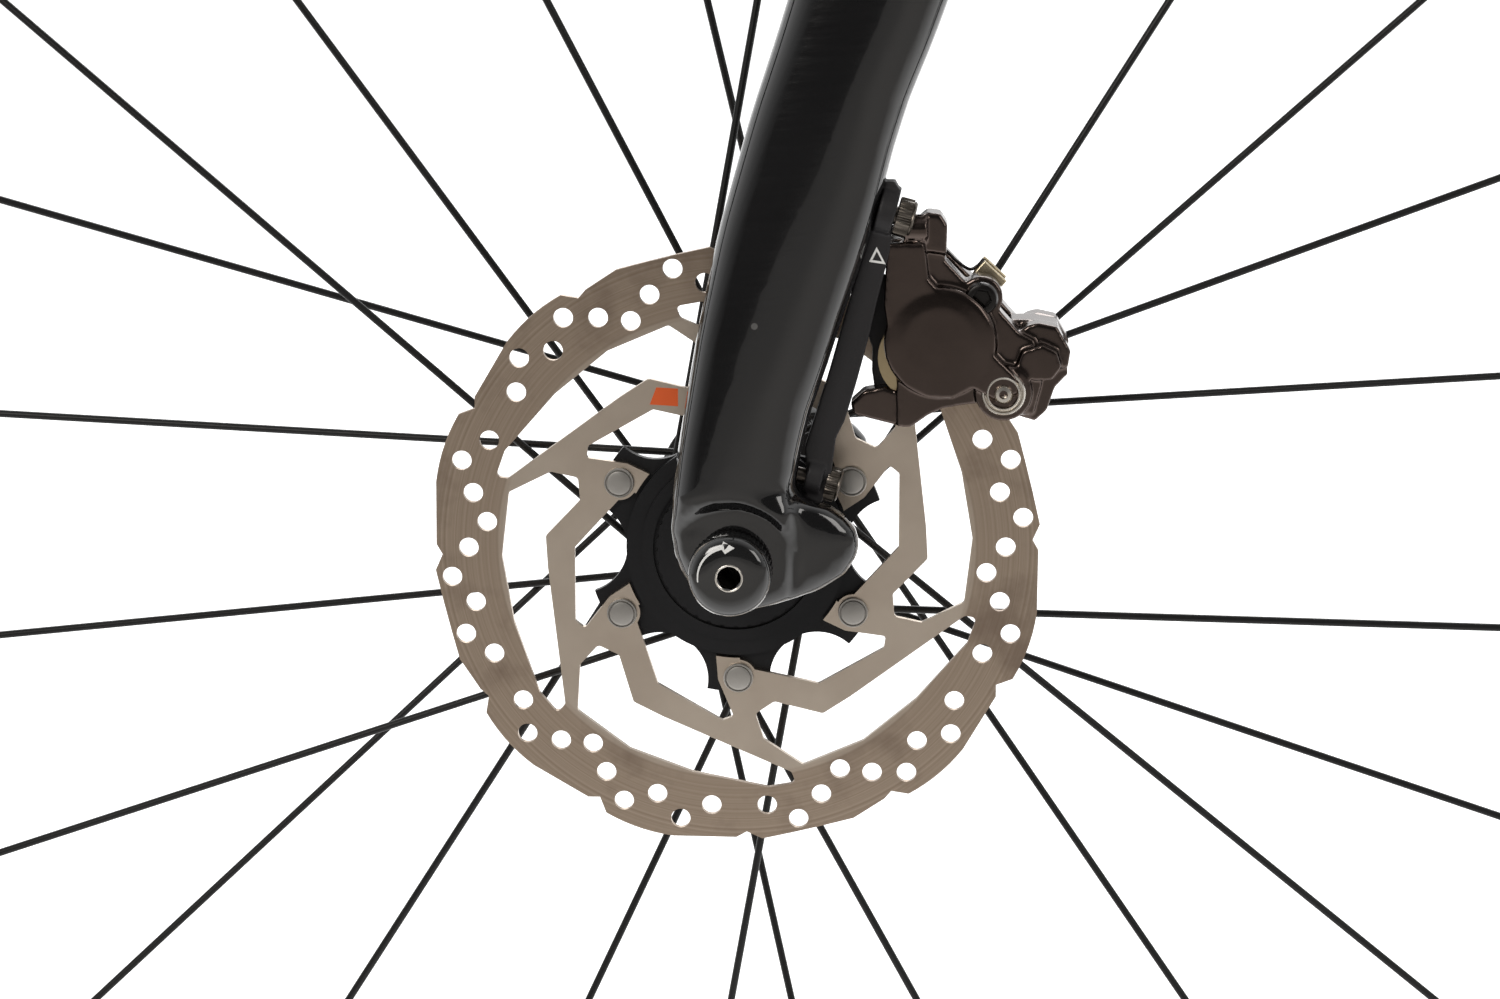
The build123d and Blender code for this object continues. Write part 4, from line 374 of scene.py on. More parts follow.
MATERIALS = {
    "frame_paint": GLOSS_BLACK,
    "black_alloy": anodised("black_alloy", (0.012, 0.012, 0.013), 0.42, 0.6),
    "silver_alloy": anodised("silver_alloy", (0.6, 0.6, 0.61), 0.3),
    "rotor_steel": rotor_steel("rotor_steel_front", FRONT_AXLE),
    "rivet_steel": anodised("rivet_steel", (0.42, 0.42, 0.4), 0.36),
    "caliper_alloy": anodised("caliper_alloy", (0.09, 0.078, 0.072), 0.2, 1.0, 500),
    "bolt_steel": anodised("bolt_steel", (0.3, 0.29, 0.28), 0.3),
    "tyre_rubber": rubber("tyre_rubber", (0.012, 0.012, 0.012), 900, 0.3, 0.8),
    "rim_black": anodised("rim_black", (0.012, 0.012, 0.012), 0.35, 0.5),
    "spoke_black": anodised("spoke_black", (0.012, 0.012, 0.012), 0.4, 0.6),
    "tape": rubber("tape", (0.014, 0.014, 0.015), 420, 0.6, 0.7),
    "hood_rubber": rubber("hood_rubber", (0.012, 0.012, 0.012), 700, 0.5, 0.72),
    "lever_black": anodised("lever_black", (0.014, 0.014, 0.015), 0.32, 0.7),
    "saddle_skin": rubber("saddle_skin", (0.014, 0.014, 0.014), 500, 0.35, 0.6),
    "rail_steel": anodised("rail_steel", (0.42, 0.42, 0.43), 0.28),
    "chain_steel": anodised("chain_steel", (0.42, 0.4, 0.37), 0.3),
    "cassette_steel": turned_metal("cassette_steel", (0.5, 0.49, 0.48), REAR_AXLE, 0.3),
    "pedal_plastic": rubber("pedal_plastic", (0.015, 0.015, 0.015), 300, 0.3, 0.55, "noise"),
    "pad_metal": anodised("pad_metal", (0.45, 0.36, 0.22), 0.35),
    "bearing_steel": anodised("bearing_steel", (0.45, 0.45, 0.45), 0.25),
}


def dress_nodes():
    """Give every CAD node the material of its slot."""
    rear_steel = rotor_steel("rotor_steel_rear", REAR_AXLE)
    for entry in frame["record"]["subparts"]:
        node = NODES[entry["node"]]
        material = rear_steel if entry["node"] == "rear_rotor" else MATERIALS[entry["material_slot"]]
        node.data.materials.clear()
        node.data.materials.append(material)


# ---------------------------------------------------------------- mesh tools
class Form:
    """A mesh under construction, in metres."""

    def __init__(self):
        self.bm = bmesh.new()

    def rings(self, rings, caps=True, closed=True):
        """Quads between rings of points."""
        rows = [[self.bm.verts.new(point) for point in ring] for ring in rings]
        count = len(rows[0])
        for low, high in zip(rows, rows[1:]):
            for i in range(count if closed else count - 1):
                j = (i + 1) % count
                self.bm.faces.new((low[i], low[j], high[j], high[i]))
        if caps:
            self.bm.faces.new(rows[0][::-1])
            self.bm.faces.new(rows[-1])
        return self

    def slab(self, outline, low, high, place):
        """A plate between two offsets: place turns (back, up, out) in millimetres into a point."""
        return self.rings([[place(u, v, w) for u, v in outline] for w in (low, high)])

    def lathe(self, origin, axis, profile, segments=64, teeth=None):
        """A turned body from (along, radius) in millimetres; teeth is (first row, last row, count, depth)."""
        axis = Vector(axis).normalized()
        side = axis.orthogonal().normalized()
        up = axis.cross(side)
        rings = []
        for row, (along, radius) in enumerate(profile):
            ring = []
            for i in range(segments):
                angle = 2 * math.pi * i / segments
                size = radius
                if teeth and teeth[0] <= row <= teeth[1]:
                    size -= teeth[3] * (0.5 + 0.5 * math.cos(teeth[2] * angle))
                offset = side * math.cos(angle) + up * math.sin(angle)
                ring.append(origin + axis * (along * MM) + offset * (size * MM))
            rings.append(ring)
        return self.rings(rings)

    def tube(self, points, radius, segments=16, steps=8):
        """A round wire along a smooth line through the points."""
        line = smooth_line(points, steps)
        rings = []
        for i, point in enumerate(line):
            run = (line[min(i + 1, len(line) - 1)] - line[max(i - 1, 0)]).normalized()
            side = run.cross(LEFT) if abs(run.dot(LEFT)) < 0.95 else run.cross(Vector((0, 0, 1)))
            side.normalize()
            up = run.cross(side)
            size = radius(i / (len(line) - 1)) if callable(radius) else radius
            angles = [2 * math.pi * k / segments for k in range(segments)]
            rings.append([point + (side * math.cos(a) + up * math.sin(a)) * (size * MM) for a in angles])
        return self.rings(rings)

    def mesh(self, name):
        bmesh.ops.recalc_face_normals(self.bm, faces=self.bm.faces)
        made = bpy.data.meshes.new(name)
        self.bm.to_mesh(made)
        self.bm.free()
        return made


def smooth_line(points, steps):
    """Points along a Catmull-Rom curve through the given ones."""
    points = [Vector(p) for p in points]
    if len(points) < 3:
        return points
    padded = [points[0] * 2 - points[1]] + points + [points[-1] * 2 - points[-2]]
    line = []
    for a, b, c, d in zip(padded, padded[1:], padded[2:], padded[3:]):
        for k in range(steps):
            t = k / steps
            line.append(0.5 * (2 * b + (c - a) * t + (2 * a - 5 * b + 4 * c - d) * t**2
                               + (3 * b - a - 3 * c + d) * t**3))
    return line + [points[-1]]


def circle(centre, radius, count=40):
    angles = [2 * math.pi * i / count for i in range(count)]
    return [(centre[0] + radius * math.cos(a), centre[1] + radius * math.sin(a)) for a in angles]


def blend_value(table, x):
    """Smooth interpolation in a short table of (x, value)."""
    for (x0, y0), (x1, y1) in zip(table, table[1:]):
        if x <= x1:
            return y0 + (y1 - y0) * max(0.0, (x - x0)) / (x1 - x0)
    return table[-1][1]


def cast(name, form, voxel, rounding):
    """Fuse the form's bodies into one skin, with rounded edges, as casting or moulding leaves them."""
    rough = bpy.data.objects.new(name + "_rough", form.mesh(name + "_rough"))
    bpy.context.scene.collection.objects.link(rough)
    fuse = rough.modifiers.new("fuse", "REMESH")
    fuse.mode, fuse.voxel_size = "VOXEL", voxel * MM
    soften = rough.modifiers.new("soften", "SMOOTH")
    soften.factor, soften.iterations = 0.5, rounding
    bpy.context.view_layer.update()
    made = bpy.data.meshes.new_from_object(rough.evaluated_get(bpy.context.evaluated_depsgraph_get()))
    made.name = name
    bpy.data.objects.remove(rough)
    return made


def piece(name, mesh, material, body, slot, *replaced, smooth=True, sharp=None):
    """Put a form or a finished mesh in the scene, riding on a CAD body."""
    if isinstance(mesh, Form):
        mesh = mesh.mesh(name)
    obj = bpy.data.objects.new(name, mesh)
    bpy.context.scene.collection.objects.link(obj)
    mesh.materials.clear()
    mesh.materials.append(material)
    mesh.polygons.foreach_set("use_smooth", [smooth] * len(mesh.polygons))
    if sharp is not None:
        mesh.set_sharp_from_angle(angle=math.radians(sharp))
    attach(obj, body)
    if replaced:
        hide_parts(*replaced)
    return obj


def blade_place(back, up, out):
    """A point in the blade's axes, out from the rotor's middle plane."""
    return blade_point(back, up, ROTOR_Y / MM + out)


# ---------------------------------------------------------------- front caliper
BODY_OUT, SHIELD_OUT, SLOT_OUT, INNER_OUT = 13.2, 17.2, 4.9, -17.4
BODY = [(39.4, 82.4), (47.5, 83), (53.2, 80), (53.3, 77.2), (58.9, 71.3), (66.7, 65), (72.2, 58.9), (76, 57),
        (78, 46), (76, 38), (70.6, 37.6), (62.2, 40.8), (53.3, 39.4), (49.4, 37.6), (45, 34.4), (41.7, 34.4),
        (41.6, 41), (40.6, 54.4), (38.2, 66.7)]
SHIELD = [(38.6, 82), (48, 82), (49.2, 73), (53, 68.8), (60, 60.6), (66, 53.6), (71.5, 48.2), (72, 44),
          (66, 42.4),
          (60.5, 45.4), (55.5, 42.6), (49, 42.8), (43.4, 45.8), (40.8, 50.6), (39.6, 57), (38, 66)]
RIGHT_LOW = [(70, 53), (79, 52), (84.4, 50), (84.6, 48), (81.4, 44.6), (79.4, 38.6), (76.4, 35.8),
             (70.6, 37.6)]
RIGHT_HIGH = [(71, 58), (74.4, 60.6), (77, 61.2), (81.7, 60.2), (85.2, 54), (84.6, 50), (76, 48)]
KNUCKLE = [(73, 54.5), (78, 56.2), (81.6, 54.4), (82.8, 50.6), (80.6, 47.4), (76, 47), (71, 49)]
FOOT = [(41.8, 34.6), (30.4, 37.4), (29.6, 40.4), (33, 43.6), (38.4, 44.6), (43, 43)]
RECESS_FLOOR = [(36.4, 74), (39.6, 66), (42.4, 54), (43, 41), (36.6, 42.6), (35.6, 56), (35.2, 64)]
RECESS_HIGH = [(33, 75), (38.4, 72.4), (42, 54.6), (34.8, 54.4), (32, 62)]
RECESS_LOW = [(35, 54.6), (42.4, 54.6), (43, 41), (36, 41), (34.9, 48)]
LUG = [(46.4, 80), (46.2, 87.4), (48.6, 89.6), (52, 89.2), (53.8, 86.4), (53.6, 79)]
TOP_BRIDGE = [(39.4, 82), (47.8, 83), (53.3, 77.4), (52, 68), (47.6, 69.4), (41, 73.4)]
RIGHT_BRIDGE = [(66, 53), (70, 61), (76, 61), (81.7, 60), (85, 52), (81, 44), (79, 37.4), (76, 36),
                (72.6, 43)]
PISTON_SPOT, PISTON_COVER_R = (52.2, 56.7), 14.2
PIN_SPOT, NIPPLE_SPOT = (62.5, 67.8), (68.3, 43.9)


def make_front_caliper():
    form = Form()
    for outline, low, high in (
        (BODY, SLOT_OUT, BODY_OUT), (SHIELD, BODY_OUT - 1, SHIELD_OUT - 0.2), (RIGHT_LOW, SLOT_OUT, 10.5),
        (RIGHT_HIGH, SLOT_OUT, 11.5), (KNUCKLE, 8, 15.2), (FOOT, SLOT_OUT, 12.4),
                               (RECESS_FLOOR, SLOT_OUT, 7.5),
        (LUG, 5.5, 15), (circle(PIN_SPOT, 5.4), SLOT_OUT, 13.3), (circle(NIPPLE_SPOT, 7.2), SLOT_OUT, 15.6),
        (BODY, INNER_OUT + 3.4, -SLOT_OUT), (SHIELD, INNER_OUT, INNER_OUT + 4), (RIGHT_HIGH, -12, -SLOT_OUT),
        (RIGHT_LOW, -12, -SLOT_OUT), (TOP_BRIDGE, -SLOT_OUT - 0.6, SLOT_OUT + 0.6),
        (RIGHT_BRIDGE, -SLOT_OUT - 0.6, SLOT_OUT + 0.6),
    ):
        form.slab(outline, low, high, blade_place)
    cover = blade_place(*PISTON_SPOT, 10)
    form.lathe(cover, LEFT, [(0, PISTON_COVER_R), (6.4, PISTON_COVER_R), (7.0, 13), (7.4, 9), (7.5, 0.4)])
    neck = blade_place(45.8, 85.4, 13.6)
    form.lathe(neck, BLADE_BACK, [(-3, 3.6), (3, 3.6)], 32)
    body = cast("caliper_front_body", form, 0.42, 10)
    piece("caliper_front_body", body, CALIPER_GLOSS, "steering", "caliper_alloy", "front_caliper")
    # Painted shade: matte black slabs laid just over the recess floor, where shade falls inside the caliper.
    shade = Form()
    for outline, high in ((RECESS_HIGH, 8.0), (RECESS_LOW, 8.0)):
        shade.slab(outline, SLOT_OUT + 0.4, high, blade_place)
    piece("caliper_recess_painted_shade", cast("caliper_recess_painted_shade", shade, 0.4, 3), MATTE_BLACK_AND_RECESS_SHADE, "steering", "caliper_alloy")


def make_caliper_screws():
    """The bleed nipple in its rings, the pad pin, and the knurled mounting bolts."""
    nipple = Form()
    spot = blade_place(*NIPPLE_SPOT, 0)
    nipple.lathe(spot, LEFT, [(12, 5.7), (16.2, 5.7), (16.7, 5.3), (16.7, 4.9), (15.9, 4.7), (15.9, 4.5),
                              (16.9, 4.4),
                              (17.2, 4.1), (17.2, 3.8), (15.4, 3.5), (15.2, 2.7), (17.6, 2.3), (18.2, 1.9),
                              (18.3, 1.1), (16.8, 0.9), (16.8, 0.05)])
    piece("bleed_nipple", nipple, NIPPLE_STEEL, "steering", "bolt_steel", sharp=40)
    pin = Form()
    hex_socket(pin, blade_place(*PIN_SPOT, 0), LEFT, [(11, 4.2), (15.0, 4.2), (15.9, 3.7), (16.1, 3.1)],
               2.0, 13.7)
    piece("pad_pin", pin, DARK_STEEL, "steering", "bolt_steel", sharp=35)
    lean = math.radians(15)
    axis = BLADE_BACK * math.cos(lean) - BLADE_UP * math.sin(lean)
    for name, at, radius, height, extra in (("bolt_high", (45.4, 87.5), 5.0, 4.6, ("caliper_bolts",)),
                                            ("bolt_low", (27.2, 19.2), 4.5, 3.8, ())):
        bolt = Form()
        head = blade_point(*at, 53.75)
        rim = [(-height, radius - 0.3), (-height + 0.4, radius), (-1.0, radius), (-0.9, radius - 0.5),
               (-0.5, radius - 0.35), (-0.1, radius - 0.8)]
        hex_socket(bolt, head, axis, rim, 2.3, -2.6, teeth=(1, 2, 44, 0.32), foot=-height - 8)
        piece(f"mount_{name}", bolt.mesh(name), KNURLED, "steering", "bolt_steel", *extra, sharp=30)


def hex_socket(form, origin, axis, rim, half_across, floor, teeth=None, foot=None, segments=96):
    """A turned head whose top goes down into a six-sided socket."""
    axis = Vector(axis).normalized()
    side = axis.orthogonal().normalized()
    up = axis.cross(side)

    def hexagon(along, size):
        ring = []
        for i in range(segments):
            angle = 2 * math.pi * i / segments
            local = (angle + math.pi / 6) % (math.pi / 3) - math.pi / 6
            radius = size / math.cos(local)
            ring.append(origin + axis * (along * MM)
                        + (side * math.cos(angle) + up * math.sin(angle)) * (radius * MM))
        return ring

    rings = []
    profile = ([(foot, rim[0][1] * 0.5), (rim[0][0] - 0.01, rim[0][1] * 0.5)]
               if foot is not None else []) + rim
    shift = len(profile) - len(rim)
    for row, (along, radius) in enumerate(profile):
        ring = []
        for i in range(segments):
            angle = 2 * math.pi * i / segments
            size = radius
            if teeth and teeth[0] <= row - shift <= teeth[1]:
                size -= teeth[3] * (0.5 + 0.5 * math.cos(teeth[2] * angle))
            ring.append(origin + axis * (along * MM)
                        + (side * math.cos(angle) + up * math.sin(angle)) * (size * MM))
        rings.append(ring)
    top = rim[-1][0]
    rings += [hexagon(top, half_across + 0.35), hexagon(top - 0.35, half_across), hexagon(floor, half_across)]
    form.rings(rings)


MOUNT_PLATE = [(36.9, 95.4), (38, 97.6), (40.6, 97.6), (41.7, 95.6), (40.3, 89.4), (39.4, 80), (36.4, 67.8),
               (33.9, 56.7),
               (31.1, 46.1), (28.3, 36.7), (26.1, 32.2), (25, 23.3), (22.6, 15.6), (20.5, 14.5), (18.6, 17),
               (18.3, 30),
               (23.9, 47.8), (30, 70), (35.3, 87.8)]
MOUNT_LOW, MOUNT_HIGH = 11.2, 17.4


def make_mount():
    form = Form()
    form.slab(MOUNT_PLATE, MOUNT_LOW, MOUNT_HIGH, blade_place)
    lean = math.radians(15)
    axis = BLADE_BACK * math.cos(lean) - BLADE_UP * math.sin(lean)
    form.lathe(blade_point(36.4, 90.6, 53.75), axis, [(0, 6.6), (4.4, 6.6)], 48)
    form.lathe(blade_point(18.6, 22.6, 53.75), axis, [(0, 5.2), (4.2, 5.2)], 48)
    piece("caliper_mount_plate", cast("caliper_mount_plate", form, 0.4, 3), MATTE_BLACK_AND_RECESS_SHADE, "steering",
          "black_alloy",
          "caliper_mount")
    mark = Form()
    corners = [(36.1, 81.2), (34.2, 77.4), (38.4, 76.8)]
    middle = [sum(axis) / 3 for axis in zip(*corners)]
    inner = [(middle[0] + (u - middle[0]) * 0.58, middle[1] + (v - middle[1]) * 0.58) for u, v in corners]
    outline_band(mark, corners, inner, MOUNT_HIGH - 0.3, MOUNT_HIGH + 0.12, blade_place)
    piece("mount_arrow", mark, PRINT_WHITE, "steering", "black_alloy", smooth=False)


def outline_band(form, outer, inner, low, high, place):
    """A flat closed band between two outlines with the same number of points."""
    rows = [[place(u, v, w) for u, v in line] for line,
            w in ((outer, low), (outer, high), (inner, high), (inner, low))]
    form.rings(rows + [rows[0]], caps=False)
    bmesh.ops.remove_doubles(form.bm, verts=form.bm.verts, dist=1e-7)


def make_pad_tabs():
    tab = [(63.3, 75.9), (68.9, 70.7), (66.4, 67.8), (60.6, 63), (58, 66), (61.1, 73.3)]
    for side, body in ((1, "front_outer_pad"), (-1, "front_inner_pad")):
        low, high = sorted((side * 2.9, side * 4.5))
        form = Form()
        form.slab(tab, low, high, blade_place)
        obj = piece(f"{body}_tab", form.mesh(f"{body}_tab"), PAD_BRASS, body, "pad_metal", smooth=False)
        soften_edges(obj, 0.25)
    spring = Form()
    run = [(50.5, 79.6, 2), (53.3, 78.2, 2), (56.2, 75.4, 2), (59.4, 73.4, 2), (61.4, 74.2, 2), (63, 75.8, 1)]
    spring.tube([blade_place(*p) for p in run], 0.42)
    piece("pad_spring", spring, DARK_STEEL, "steering", "bolt_steel")


def soften_edges(obj, width, segments=2):
    bevel = obj.modifiers.new("edges", "BEVEL")
    bevel.width, bevel.segments, bevel.limit_method = width * MM, segments, "ANGLE"
    bevel.angle_limit = math.radians(35)


# ---------------------------------------------------------------- thru-axle cap
LEG_OUT = 69.0
DOME_FALL = [(5.0, 0.05), (7.0, 0.2), (8.6, 0.65), (9.8, 1.45)]  # by radius, below the cap's top


def make_axle_cap():
    form = Form()
    form.lathe(FRONT_AXLE, LEFT, [(-68, 5.9), (LEG_OUT - 0.5, 5.9)], 48)
    dome = [(LEG_OUT + along, radius) for along, radius in (
        (-0.6, 10.1), (-0.2, 10.75), (2.7, 10.75), (2.9, 9.9), (3.3, 9.9), (3.5, 10.45), (4.8, 10.4),
        (5.9, 9.8), (6.7, 8.6), (7.15, 7.0), (7.3, 5.0), (7.35, 3.7))]
    hex_socket(form, FRONT_AXLE, LEFT, dome, 2.55, LEG_OUT + 2.5, teeth=(1, 2, 48, 0.45), segments=144)
    piece("thru_axle_cap", form, CAP_BLACK, "steering", "black_alloy", "front_thru_axle", sharp=40)
    ring = Form()
    ring.lathe(FRONT_AXLE, LEFT, [(LEG_OUT + 7.2, 3.6), (LEG_OUT + 7.5, 3.45), (LEG_OUT + 7.5, 3.15),
                                  (LEG_OUT + 7.2, 3.0)], 64)
    piece("cap_socket_rim", ring, NIPPLE_STEEL, "steering", "bolt_steel")
    arrow = Form()
    height = LEG_OUT + 7.36

    def cap_place(radius, angle, lift):
        fall = blend_value(DOME_FALL, radius)
        return blade_point(radius * math.cos(angle), radius * math.sin(angle), height + lift - fall)

    start, finish, steps = math.radians(188), math.radians(99), 24
    outline = []
    for i in range(steps + 1):
        angle = start + (finish - start) * i / steps
        half = 0.16 + 0.22 * i / steps
        outline.append([cap_place(7.9 - half, angle, 0.0), cap_place(7.9 + half, angle, 0.0),
                        cap_place(7.9 + half, angle, 0.16), cap_place(7.9 - half, angle, 0.16)])
    arrow.rings(outline)
    head = [(6.35, finish), (7.9, finish + 0.1), (9.4, finish), (7.9, finish - 0.34)]
    arrow.rings([[cap_place(r, a, lift) for r, a in head] for lift in (0.0, 0.18)])
    piece("cap_arrow", arrow, PRINT_WHITE, "steering", "black_alloy", smooth=False)


# ---------------------------------------------------------------- fork
FRONT_EDGE = [(-11, 0), (-10.4, -3.6), (-9, -7), (-6, -10.6), (-2, -13.2), (2.5, -15), (8, -15.7),
              (17.5, -15.25), (30, -13.75),
              (43.75, -11.5), (60, -8.8), (85, -3.6), (97.5, -0.2), (112.5, 4), (135, 10.9), (150, 15.6)]
REAR_EDGE = [(-11, 3), (-10.4, 7.4), (-9, 14), (-6, 22.6), (-2, 28.8), (2.5, 31.6), (6, 32.3), (9.6, 31.4),
             (13, 28.4),
             (15.4, 25), (16.8, 20.4), (18.4, 17.2), (21, 16.2), (30, 17.5), (40, 20), (51, 23.8),
             (62.5, 27.4),
             (75, 31.6), (85, 34.8), (95, 37.6), (107.5, 40.8), (120, 44.8), (132.5, 49.8), (150, 56.6)]
LEG_TOP = 336
SEAT_R, SEAT_DEPTH = (16.4, 17.8), 1.5  # the sunk face round the axle's cap


def leg_section(up, hand, count=160):
    """One level section of a fork leg, in the blade's axes: a flattened oval, thinner at the rear ear."""
    middle, half = -5.5 + 0.24 * up + 0.00024 * up**2, 14.9 + 0.04 * up - 0.00003 * up**2
    front, rear = middle - half, middle + half
    if up < 150:
        share = max(0.0, (up - 120) / 30)
        front = blend_value(FRONT_EDGE, up) * (1 - share) + front * share
        rear = blend_value(REAR_EDGE, up) * (1 - share) + rear * share
    side = 60 - 0.03 * up - 0.00014 * up**2
    thick = 9.2 + 0.005 * up
    boxy = 2.0 / (2.7 if up < 60 else max(2.2, 2.7 - (up - 60) / 160))
    ring = []
    for i in range(count):
        angle = 2 * math.pi * i / count
        c, s = math.cos(angle), math.sin(angle)
        back = (front + rear) / 2 + (rear - front) / 2 * math.copysign(abs(c) ** boxy, c)
        out = thick * math.copysign(abs(s) ** boxy, s)
        if up < 24:
            ear = min(1.0, max(0.0, (back - 13.5) / 3.5)) * min(1.0, (24 - up) / 5)
            out *= 1 - 0.34 * ear
        if up < 0:
            out *= 1 - 0.10 * (up / -11) ** 2
        reach = math.hypot(back, up)
        if out > 0 and reach < SEAT_R[1]:
            out -= SEAT_DEPTH * min(1.0, (SEAT_R[1] - reach) / (SEAT_R[1] - SEAT_R[0]))
        ring.append(blade_point(back, up, hand * (side + out)))
    return ring


def make_fork():
    form = Form()
    heights = [-11, -10.4, -9.6] + [0.7 * k for k in range(-13, 35)] + [26]
    heights += list(range(28, LEG_TOP, 6)) + [LEG_TOP]
    for hand in (-1, 1):
        form.rings([leg_section(up, hand) for up in heights])
    crown_up = crown_along()
    rings = []
    for along, half_w, half_l in ((-34, 44, 17), (-25, 46, 24), (-12, 41, 28), (0, 30.2, 30)):
        rings.append(axis_oval(crown_up + along, half_w, half_l))
    form.rings(rings)
    mesh = cast("fork_shell", form, 0.9, 5)
    piece("fork_shell", mesh, FORK_GLOSS, "steering", "frame_paint", "fork")
    steerer = Form()
    steerer.rings([axis_oval(along, radius, radius) for along, radius in
                   ((crown_up - 2, 19.9), (crown_up + 14, 19.9), (crown_up + 30, 14.3), (52, 14.3))])
    piece("steerer_tube", steerer, FORK_GLOSS, "steering", "frame_paint")


def crown_along():
    """Where the fork crown's top is, along the steering axis from the head tube's top."""
    low = min((Vector(corner.co) - HEAD_TOP).dot(STEER_UP) for corner in NODES["head_tube"].data.vertices)
    return low / MM - 0.8


def axis_oval(along, half_w, half_l, count=64):
    centre = HEAD_TOP + STEER_UP * (along * MM)
    angles = [2 * math.pi * i / count for i in range(count)]
    return [centre + LEFT * (half_w * MM * math.cos(a)) + STEER_FORE * (half_l * MM * math.sin(a))
            for a in angles]


# ---------------------------------------------------------------- rotor details
def make_rivets():
    form = Form()
    for k in range(6):
        angle = math.radians(30.9 + 60 * k)
        spot = blade_place(34.7 * math.cos(angle), 34.7 * math.sin(angle), 0)
        form.lathe(spot, LEFT, [(-3, 2.1), (0.9, 2.1), (0.9, 3.9), (1.75, 3.9), (1.95, 3.75), (1.95, 3.5),
                                (1.5, 3.38),
                                (1.5, 3.2), (2.0, 3.08), (2.12, 2.6), (2.14, 0.02)], 40)
    piece("rotor_rivets", form, RIVET, "front_wheel", "rivet_steel", "front_rotor_rivets", sharp=30)


def make_sticker():
    form = Form()
    form.slab([(-22.3, 37.4), (-15, 37.0), (-15, 41.6), (-20.6, 41.9)], 0.85, 1.0, blade_place)
    piece("rotor_patch", form, ORANGE, "front_wheel", "rotor_steel", smooth=False)


def make_front_end():
    make_front_caliper()
    make_caliper_screws()
    make_mount()
    make_pad_tabs()
    make_axle_cap()
    make_fork()
    make_rivets()
    make_sticker()


# ---------------------------------------------------------------- main frame
DOWN_TUBE_RISE, HEAD_LOW_R, HEAD_HIGH_R = 48.0, 30.0, 24.0
SEAT_LEAN = math.radians(73.5)
SEAT_UP = Vector((-math.cos(SEAT_LEAN), 0, math.sin(SEAT_LEAN)))
SEAT_TUBE_LEN = 500.0
DROPOUT_Y, DROPOUT_T = 71.0, 8.0
DROPOUT = [(-86, -22), (-84, -4), (-42, 20), (-30, 58), (-14, 58), (2, 22), (14, 12), (17, -6), (8, -17),
           (-20, -20)]


def crank_point(along, side=0.0, up=0.0):
    """A point by the crank axle, in millimetres: along forwards, side left, up."""
    return CRANK_AXLE + Vector((along, side, up)) * MM


def axle_point(back, up, side=0.0):
    """A point by the rear axle, in millimetres: back rearwards."""
    return REAR_AXLE + Vector((-back, side, up)) * MM


def oval_tube(form, stations, count=48):
    """A body through (point, half width across, half height) stations, each square to its run."""
    rings = []
    points = [point for point, _, _ in stations]
    for i, (point, half_w, half_h) in enumerate(stations):
        run = (points[min(i + 1, len(points) - 1)] - points[max(i - 1, 0)]).normalized()
        side = (LEFT - run * run.dot(LEFT)).normalized()
        up = run.cross(side)
        angles = [2 * math.pi * k / count for k in range(count)]
        rings.append([point + (side * (half_w * math.cos(a)) + up * (half_h * math.sin(a))) * MM
                      for a in angles])
    form.rings(rings)


def mixed(first, last, share):
    return first + (last - first) * share


def eased(stations, steps=10):
    """More stations between the given ones, along a smooth line."""
    line = smooth_line([point for point, _, _ in stations], steps)
    sizes = smooth_line([Vector((w, h, 0)) for _, w, h in stations], steps)
    return [(point, size.x, size.y) for point, size in zip(line, sizes)]


SEAT_JOIN_DROP, STAY_JOIN_DROP = 26, 62  # below the seat tube's top
BOTTLE_BOLTS_ALONG, BOTTLE_BOLTS_LIFT = (250, 314), 22


